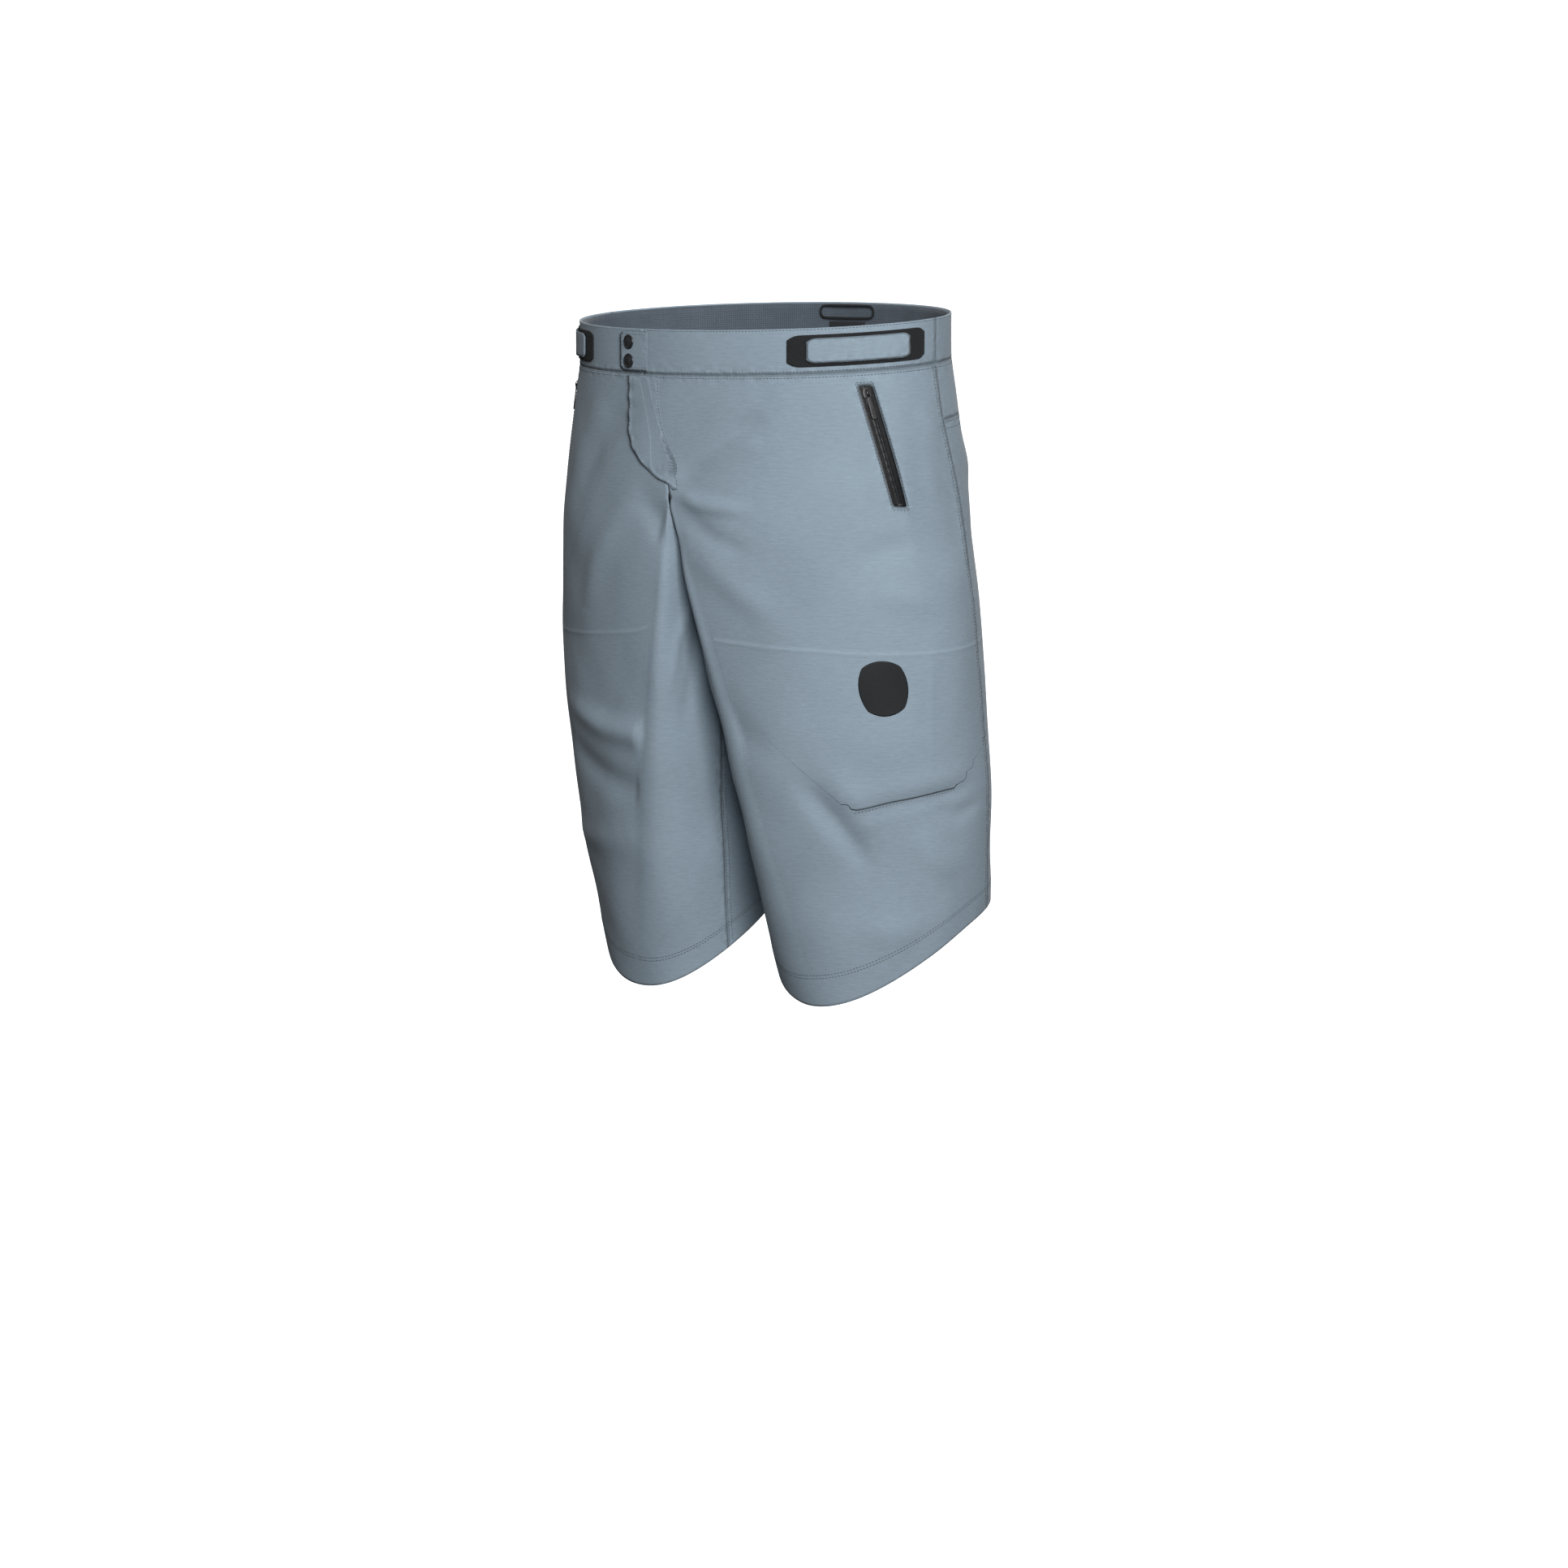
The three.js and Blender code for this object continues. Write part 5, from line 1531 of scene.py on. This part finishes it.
class SHORTS_OT_fittings(bpy.types.Operator):
    """Makes the snaps, the waist adjusters, the print, the hanging loop and the blank label"""

    bl_idname = "shorts.fittings"
    bl_label = "Snaps, adjusters, print and loop"

    def execute(self, context):
        self.snaps()
        for side in SIDES:
            for name, patch_facts, thickness, finish_name, body, slot in (
                ("adjuster_loop", ADJUSTER_LOOP, 0.8, "hook", "shorts", "black_webbing"),
                ("adjuster_tab", ADJUSTER, 1.3, "cloth", f"adjuster_{side}", "shell_fabric"),
            ):
                self.band_patch(side, name, patch_facts, thickness * MM, finish_name, body, slot)
        self.print()
        self.loop_and_label()
        return {"FINISHED"}

    def snaps(self):
        """Ring snaps: a domed cap outside the tab, and a stud on the band below."""
        metal = finish_of("snap")
        lift = 1.85
        cap = [(1.3, 0.45), (2.5, 0.45), (2.5, lift - 0.1), (6.0, lift), (6.5, lift + 0.35),
               (6.45, lift + 0.8), (6.1, lift + 1.2), (5.6, lift + 1.36), (5.2, lift + 1.3),
               (4.9, lift + 1.12),
               (4.4, lift + 1.1), (3.2, lift + 1.28), (1.6, lift + 1.4), (0.3, lift + 1.42)]
        stud = [(0.3, -2.2), (2.4, -2.2), (2.5, -1.9), (2.5, -0.5), (1.5, -0.4), (1.3, 0.2),
                (0.3, 0.35)]
        for name, drop in zip(("upper", "lower"), SNAP_DROPS):
            level = -1.0 + drop / cut().band
            reach = 4 * MM
            angle = angle_at(SNAP_X, 0.0)
            centre = body_point(angle, np.float64(level))
            right = body_point(angle_at(SNAP_X + reach, 0.0), np.float64(level))
            x = unit(right - centre)
            y = unit(body_point(angle, np.float64(level - 0.1)) - centre)
            z = np.cross(x, y)
            for part, profile, body in (("cap", cap, "fly_flap"), ("stud", stud, "shorts")):
                rings = turned(profile, centre, x, y, z)
                piece = solid_piece(f"snap_{part}_{name}_metal", [rings])
                recalculate(piece)
                finish(piece, metal, body, "snap_metal", f"snap_{part}_{name}")

    def band_patch(self, side, name, facts, thickness, finish_name, body, slot):
        """A strip along the band with rounded ends, raised clear of what it lies over."""
        u, w = np.meshgrid(np.linspace(0, 1, 30), np.linspace(0, 1, 10))
        angle = mix(facts["front"], facts["rear"], u)
        half = facts["height"] / cut().band / 2.0
        ends = np.clip(np.abs(2.0 * u - 1.0) * 8.0 - 7.0, 0.0, 1.0)
        level = -0.5 + (2.0 * w - 1.0) * half * (1.0 - 0.3 * ends**2)
        rows = spot(side, angle, level, facts["lift"] + thickness)
        rows = rows[:, ::-1] if side == RIGHT else rows
        piece = thicken(grid_mesh(f"{name}_{side}_cloth", rows), thickness, levels=1)
        finish(piece, finish_of(finish_name), body, slot, f"{name}_{side}")
        declare(piece)

    def print(self):
        """A plain rounded shield printed on the left thigh."""
        centre = spot(LEFT, PRINT["angle"], PRINT["level"])
        degree = np.linalg.norm(spot(LEFT, PRINT["angle"] + 2.0, PRINT["level"]) - centre) / 2.0
        level = np.linalg.norm(spot(LEFT, PRINT["angle"], PRINT["level"] + 0.02) - centre) / 0.02
        u, w = np.meshgrid(np.linspace(-1, 1, 40), np.linspace(-1, 1, 40))
        x = u * np.sqrt(1.0 - 0.42 * w**2) * PRINT["width"] / 2.0
        y = w * np.sqrt(1.0 - 0.42 * u**2) * PRINT["height"] / 2.0
        rows = spot(LEFT, PRINT["angle"] + x / degree, PRINT["level"] + y / level, 0.35 * MM)
        piece = thicken(grid_mesh("thigh_print_film", rows), 0.2 * MM)
        finish(piece, finish_of("ink"), "shorts", "print_ink", "thigh_print")
        declare(piece)

    def loop_and_label(self):
        """A stadium loop of flat cord, and a satin label with nothing on it."""
        low, high = (np.array(c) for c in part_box("hanger_loop"))
        middle, size = 0.5 * (low + high), high - low
        radius = size[2] / 2.0 - 1.2 * MM
        straight = size[0] / 2.0 - size[2] / 2.0
        t = np.linspace(0.0, 2.0 * np.pi, 96, endpoint=False)
        path_x = radius * np.cos(t) + straight * np.tanh(6.0 * np.cos(t))
        path_z = radius * np.sin(t)
        path = np.stack([path_x, 0.0 * t, path_z], -1)
        ahead = unit(np.roll(path, -1, 0) - np.roll(path, 1, 0))
        side = np.cross(ahead, [0.0, 1.0, 0.0])
        ring = np.linspace(0.0, 2.0 * np.pi, 12, endpoint=False)
        rings = (
            middle + path[:, None, :]
            + (1.15 * MM * np.cos(ring))[None, :, None] * side[:, None, :]
            + (0.6 * MM * np.sin(ring))[None, :, None] * np.array([0.0, 1.0, 0.0])
        )
        loop = np.concatenate([rings, rings[:1]])
        piece = grid_mesh("hanger_loop_webbing", loop, close_across=True)
        recalculate(piece, join=True)
        finish(piece, finish_of("webbing"), "shorts", "black_webbing", "hanger_loop")
        low, high = (np.array(c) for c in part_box("blank_label"))
        middle, size = 0.5 * (low + high), high - low
        u, w = np.meshgrid(np.linspace(-0.5, 0.5, 30), np.linspace(0.5, -0.5, 18))
        dip = 0.25 * MM * np.sin(u * 9.0) * np.cos(w * 5.0)
        rows = np.stack([middle[0] - u * size[0], middle[1] + dip, middle[2] + w * size[2]], -1)
        label = thicken(grid_mesh("blank_label_cloth", rows), 0.4 * MM, offset=0.0)
        finish(label, finish_of("label"), "shorts", "label_fabric", "blank_label")
        declare(label)


# ---- Stitches --------------------------------------------------------------------------
THREAD_RADIUS = 0.29 * MM
STITCH_RINGS = 5
STITCH_SIDES = 6


def even_walk(points, pace):
    """Places and headings at even paces along a line of points."""
    steps = np.linalg.norm(np.diff(points, axis=0), axis=1)
    so_far = np.concatenate([[0.0], np.cumsum(steps)])
    count = max(int(so_far[-1] / pace), 2)
    at = (np.arange(count) + 0.5) * so_far[-1] / count
    place = np.stack([np.interp(at, so_far, points[:, k]) for k in range(3)], -1)
    ahead = np.stack([np.interp(at + 0.4 * pace, so_far, points[:, k]) for k in range(3)], -1)
    behind = np.stack([np.interp(at - 0.4 * pace, so_far, points[:, k]) for k in range(3)], -1)
    return place, unit(ahead - behind)


def stitch_row(line, lifted):
    """One row of stitches: a small spindle at each pace, lying along the line.

    line is on the cloth and lifted a little above it, so that their difference points out.
    """
    stitch, pitch = folds().stitch, folds().pitch
    place, along = even_walk(line, pitch)
    above, _ = even_walk(lifted, pitch)
    above = above[: len(place)]
    out = unit(above - place[: len(above)])
    place, along = place[: len(above)], along[: len(above)]
    side = unit(np.cross(along, out))
    ring = np.linspace(0.0, 2.0 * np.pi, STITCH_SIDES, endpoint=False)
    s = np.array([-1.0, -0.72, 0.0, 0.72, 1.0])
    fat = np.array([0.25, 0.8, 1.0, 0.8, 0.25]) * THREAD_RADIUS
    dip = -0.22 * MM * s**2
    rise = fat[:, None] * np.sin(ring)[None, :] * 0.8 + dip[:, None]
    local = (
        (s * stitch / 2.0)[None, :, None, None] * along[:, None, None, :]
        + (fat[:, None] * np.cos(ring)[None, :])[None, :, :, None] * side[:, None, None, :]
        + rise[None, :, :, None] * out[:, None, None, :]
    )
    points = (place[:, None, None, :] + local).reshape(-1, 3)
    cells = ring_faces(STITCH_RINGS, STITCH_SIDES)
    size = STITCH_RINGS * STITCH_SIDES
    caps = np.array([[0, 5, 4, 1], [1, 4, 3, 2], [24, 25, 28, 29], [25, 26, 27, 28]])
    one = np.concatenate([cells, caps])
    faces = (one[None, :, :] + size * np.arange(len(place))[:, None, None]).reshape(-1, 4)
    return points, faces


def seam_stitches(side, angles, levels, lift=0.12 * MM):
    """Stitches along a line of angles and levels on one side."""
    line = spot(side, angles, levels, lift)
    return stitch_row(line, spot(side, angles, levels, lift + 1.0 * MM))


def beside(level, millimetres):
    """Degrees for a distance round the cloth at a level."""
    narrowing = mix(*STITCH_ROUND, np.clip(level - 1.0, 0.0, 1.0))
    return np.degrees(millimetres * MM / narrowing)


class SHORTS_OT_stitches(bpy.types.Operator):
    """Sews the rows of stitches along the seams, hems, zips, flap, tab and dart"""

    bl_idname = "shorts.stitches"
    bl_label = "Stitches"

    def execute(self, context):
        thread = finish_of("thread")
        down = np.linspace(0.012, 1.99, 420)
        for side in SIDES:
            rows = []
            for offset in (-1.8, -6.6):
                rows.append(seam_stitches(side, side_seam(down) + beside(down, offset), down))
            leg = np.linspace(1.03, 1.99, 260)
            for offset in (1.6, 5.4):
                rows.append(seam_stitches(side, INSEAM - beside(leg, offset), leg))
            self.sew(f"seam_stitches_{side}", rows, thread, "shorts")
            rows = []
            around = np.linspace(-89.5, 269.5, 420)
            for height in (HEM_FACING - 1.5 * MM, HEM_FACING - 4.2 * MM):
                rows.append(seam_stitches(side, around, HEM - height / LEG_HEIGHT + 0.0 * around))
            self.sew(f"hem_stitches_{side}", rows, thread, "shorts")
            rows = []
            zip_down = np.linspace(SLOT_LEVELS[0] - 0.02, SLOT_LEVELS[1] + 0.02, 90)
            for hand in (-1.0, 1.0):
                offset = hand * (slot_half(zip_down) + beside(zip_down, 1.7))
                rows.append(seam_stitches(side, zip_angle(zip_down) + offset, zip_down))
            for end in (zip_down[0], zip_down[-1]):
                across = np.linspace(-1.0, 1.0, 12) * (slot_half(end) + 0.6) + zip_angle(end)
                rows.append(seam_stitches(side, across, end + 0.0 * across))
            self.sew(f"zip_stitches_{side}", rows, thread, "shorts")
            rows = []
            front = float(half_edge(side, np.float64(0.0)))
            for level in (-0.965, -0.05, 0.026):
                turn = np.linspace(front + 1.2, 89.8, 260)
                rows.append(seam_stitches(side, turn, level + 0.0 * turn))
            turn = np.linspace(SEAM_TOP_ANGLE + 1.0, 89.5, 120)
            for level in (YOKE_LEVEL + 0.018, YOKE_LEVEL + 0.055):
                rows.append(seam_stitches(side, turn, level + 0.0 * turn))
            seat = np.linspace(YOKE_LEVEL + 0.02, 0.99, 60)
            rows.append(seam_stitches(side, np.full_like(seat, 88.9), seat))
            self.sew(f"band_stitches_{side}", rows, thread, "shorts")
        self.flap_rows(thread)
        dart = np.array(DART)
        s = np.linspace(0.0, 1.0, 80)
        angle = np.interp(s, np.linspace(0, 1, len(dart)), dart[:, 0])
        level = np.interp(s, np.linspace(0, 1, len(dart)), dart[:, 1])
        self.sew("dart_stitches", [seam_stitches(LEFT, angle, level + 0.004)], thread, "shorts")
        return {"FINISHED"}

    def sew(self, name, rows, thread, body):
        """Joins rows of stitches into one piece."""
        finish(merged(name, rows), thread, body, "thread")

    def flap_rows(self, thread):
        """The flap's curved stitch line, its edge row, and the tab's outline."""
        w = np.linspace(0.0, 0.97, 160)
        level = flap_level(w)
        rows = []
        for u, lift in ((0.035, 0.5), (0.945, 2.0)):
            angle = angle_at(flap_x(np.full_like(w, u), w), level)
            rows.append(seam_stitches(LEFT, angle, level, lift * MM))
        angle = angle_at(np.linspace(TAB["sewn"] - 2 * MM, TAB["end"] + 2 * MM, 60), 0.0)
        for height in (-0.87, -0.13):
            rows.append(seam_stitches(LEFT, angle, height + 0.0 * angle, 1.87 * MM))
        end = np.linspace(-0.83, -0.17, 30)
        rows.append(seam_stitches(LEFT, np.full_like(end, angle[-1]), end, 1.87 * MM))
        self.sew("flap_stitches", rows, thread, "fly_flap")


# ---- Stage -----------------------------------------------------------------------------
CAMERA_PLACE = Vector((2.742, -3.480, 0.115))
CAMERA_AIM = Vector((0.0146, 0.0114, -0.419))
FLOOR_HEIGHT = -1.06
FLOOR_RADIUS = 3.0
WALL_RADIUS = 7.5
WALL_HEIGHT = 7.0
BACKDROP_GLOW = 0.78
WORLD_GLOW = 0.05
LENS = 111.4
SENSOR_WIDTH = 36.0
SHORTS_MIDDLE = Vector((0.0, 0.0, -0.3))
# Each light: its name, place, size in metres, power in watts, and what it aims at.
LIGHTS = (
    ("key", (3.0, -2.8, 1.1), 1.9, 192, SHORTS_MIDDLE),
    ("left", (-2.6, -2.4, 0.5), 1.6, 3.2, SHORTS_MIDDLE),
    ("right", (3.4, -0.6, 0.4), 1.6, 4, SHORTS_MIDDLE),
    ("top", (0.0, -0.4, 2.8), 2.2, 8, SHORTS_MIDDLE),
    ("behind", (-0.8, 3.0, 1.6), 2.2, 42, SHORTS_MIDDLE),
    ("sweep", (-1.2, 1.4, 2.4), 3.0, 60, Vector((-2.6, 3.4, -1.0))),
)


class SHORTS_OT_stage(bpy.types.Operator):
    """Sets the pale bowl of a floor, the soft lights and the camera"""

    bl_idname = "shorts.stage"
    bl_label = "Stage, lights and camera"

    def execute(self, context):
        scene = context.scene
        turn = np.linspace(0.0, 2.0 * np.pi, 73)
        run = np.linspace(0.0, 1.0, 48)[:, None]
        radius = WALL_RADIUS * np.sqrt(run) + 0.0 * turn
        climb = np.clip((radius - FLOOR_RADIUS) / (WALL_RADIUS - FLOOR_RADIUS), 0.0, 1.0)
        height = FLOOR_HEIGHT + WALL_HEIGHT * climb**2
        rows = np.stack([radius * np.cos(turn), radius * np.sin(turn), height], -1)
        floor = grid_mesh("studio_bowl", rows)
        floor.visible_diffuse = False
        floor.visible_glossy = False
        floor.data.materials.append(finish_of("floor"))
        for facts in LIGHTS:
            self.light(*facts)
        world = bpy.data.worlds.new("studio")
        world.use_nodes = True
        world.node_tree.nodes["Background"].inputs["Color"].default_value = (1.0, 1.0, 1.0, 1.0)
        world.node_tree.nodes["Background"].inputs["Strength"].default_value = WORLD_GLOW
        scene.world = world
        scene.view_settings.view_transform = "Standard"
        data = bpy.data.cameras.new("view")
        data.lens = LENS
        data.sensor_width = SENSOR_WIDTH
        data.clip_end = 60.0
        camera = bpy.data.objects.new("view", data)
        camera.location = CAMERA_PLACE
        camera.rotation_euler = (CAMERA_AIM - CAMERA_PLACE).to_track_quat("-Z", "Y").to_euler()
        context.collection.objects.link(camera)
        scene.camera = camera
        return {"FINISHED"}

    def light(self, name, place, size, power, target):
        """A square soft light aimed at a target."""
        data = bpy.data.lights.new(name, "AREA")
        data.size = size
        data.energy = power
        lamp = bpy.data.objects.new(name, data)
        lamp.location = place
        aim = target - Vector(place)
        lamp.rotation_euler = aim.to_track_quat("-Z", "Y").to_euler()
        bpy.context.collection.objects.link(lamp)


class SHORTS_PT_panel(bpy.types.Panel):
    """Sizes, colours and the steps of the shorts"""

    bl_label = "Shorts"
    bl_idname = "SHORTS_PT_panel"
    bl_space_type = "VIEW_3D"
    bl_region_type = "UI"
    bl_category = "Shorts"

    def draw(self, context):
        layout = self.layout
        for group in (cut(), folds(), colours()):
            box = layout.box()
            for key in group.bl_rna.properties.keys():
                if key not in ("rna_type", "name"):
                    box.prop(group, key)
        for operator in OPERATORS:
            layout.operator(operator.bl_idname)


OPERATORS = (
    SHORTS_OT_shell,
    SHORTS_OT_zips,
    SHORTS_OT_inside,
    SHORTS_OT_fly,
    SHORTS_OT_fittings,
    SHORTS_OT_stitches,
    SHORTS_OT_stage,
)
CLASSES = (ShortsCut, ShortsFolds, ShortsColours, *OPERATORS, SHORTS_PT_panel)


def register():
    """Registers the classes and hangs the settings on the scene."""
    for each in CLASSES:
        bpy.utils.register_class(each)
    bpy.types.Scene.shorts_cut = bpy.props.PointerProperty(type=ShortsCut)
    bpy.types.Scene.shorts_folds = bpy.props.PointerProperty(type=ShortsFolds)
    bpy.types.Scene.shorts_colours = bpy.props.PointerProperty(type=ShortsColours)


def unregister():
    """Takes the settings and the classes away again."""
    del bpy.types.Scene.shorts_colours
    del bpy.types.Scene.shorts_folds
    del bpy.types.Scene.shorts_cut
    for each in reversed(CLASSES):
        bpy.utils.unregister_class(each)


def main():
    """Makes every piece."""
    register()
    bpy.ops.shorts.shell()
    bpy.ops.shorts.zips()
    bpy.ops.shorts.inside()
    bpy.ops.shorts.fly()
    bpy.ops.shorts.fittings()
    bpy.ops.shorts.stitches()
    bpy.ops.shorts.stage()


if __name__ == "__main__":
    main()
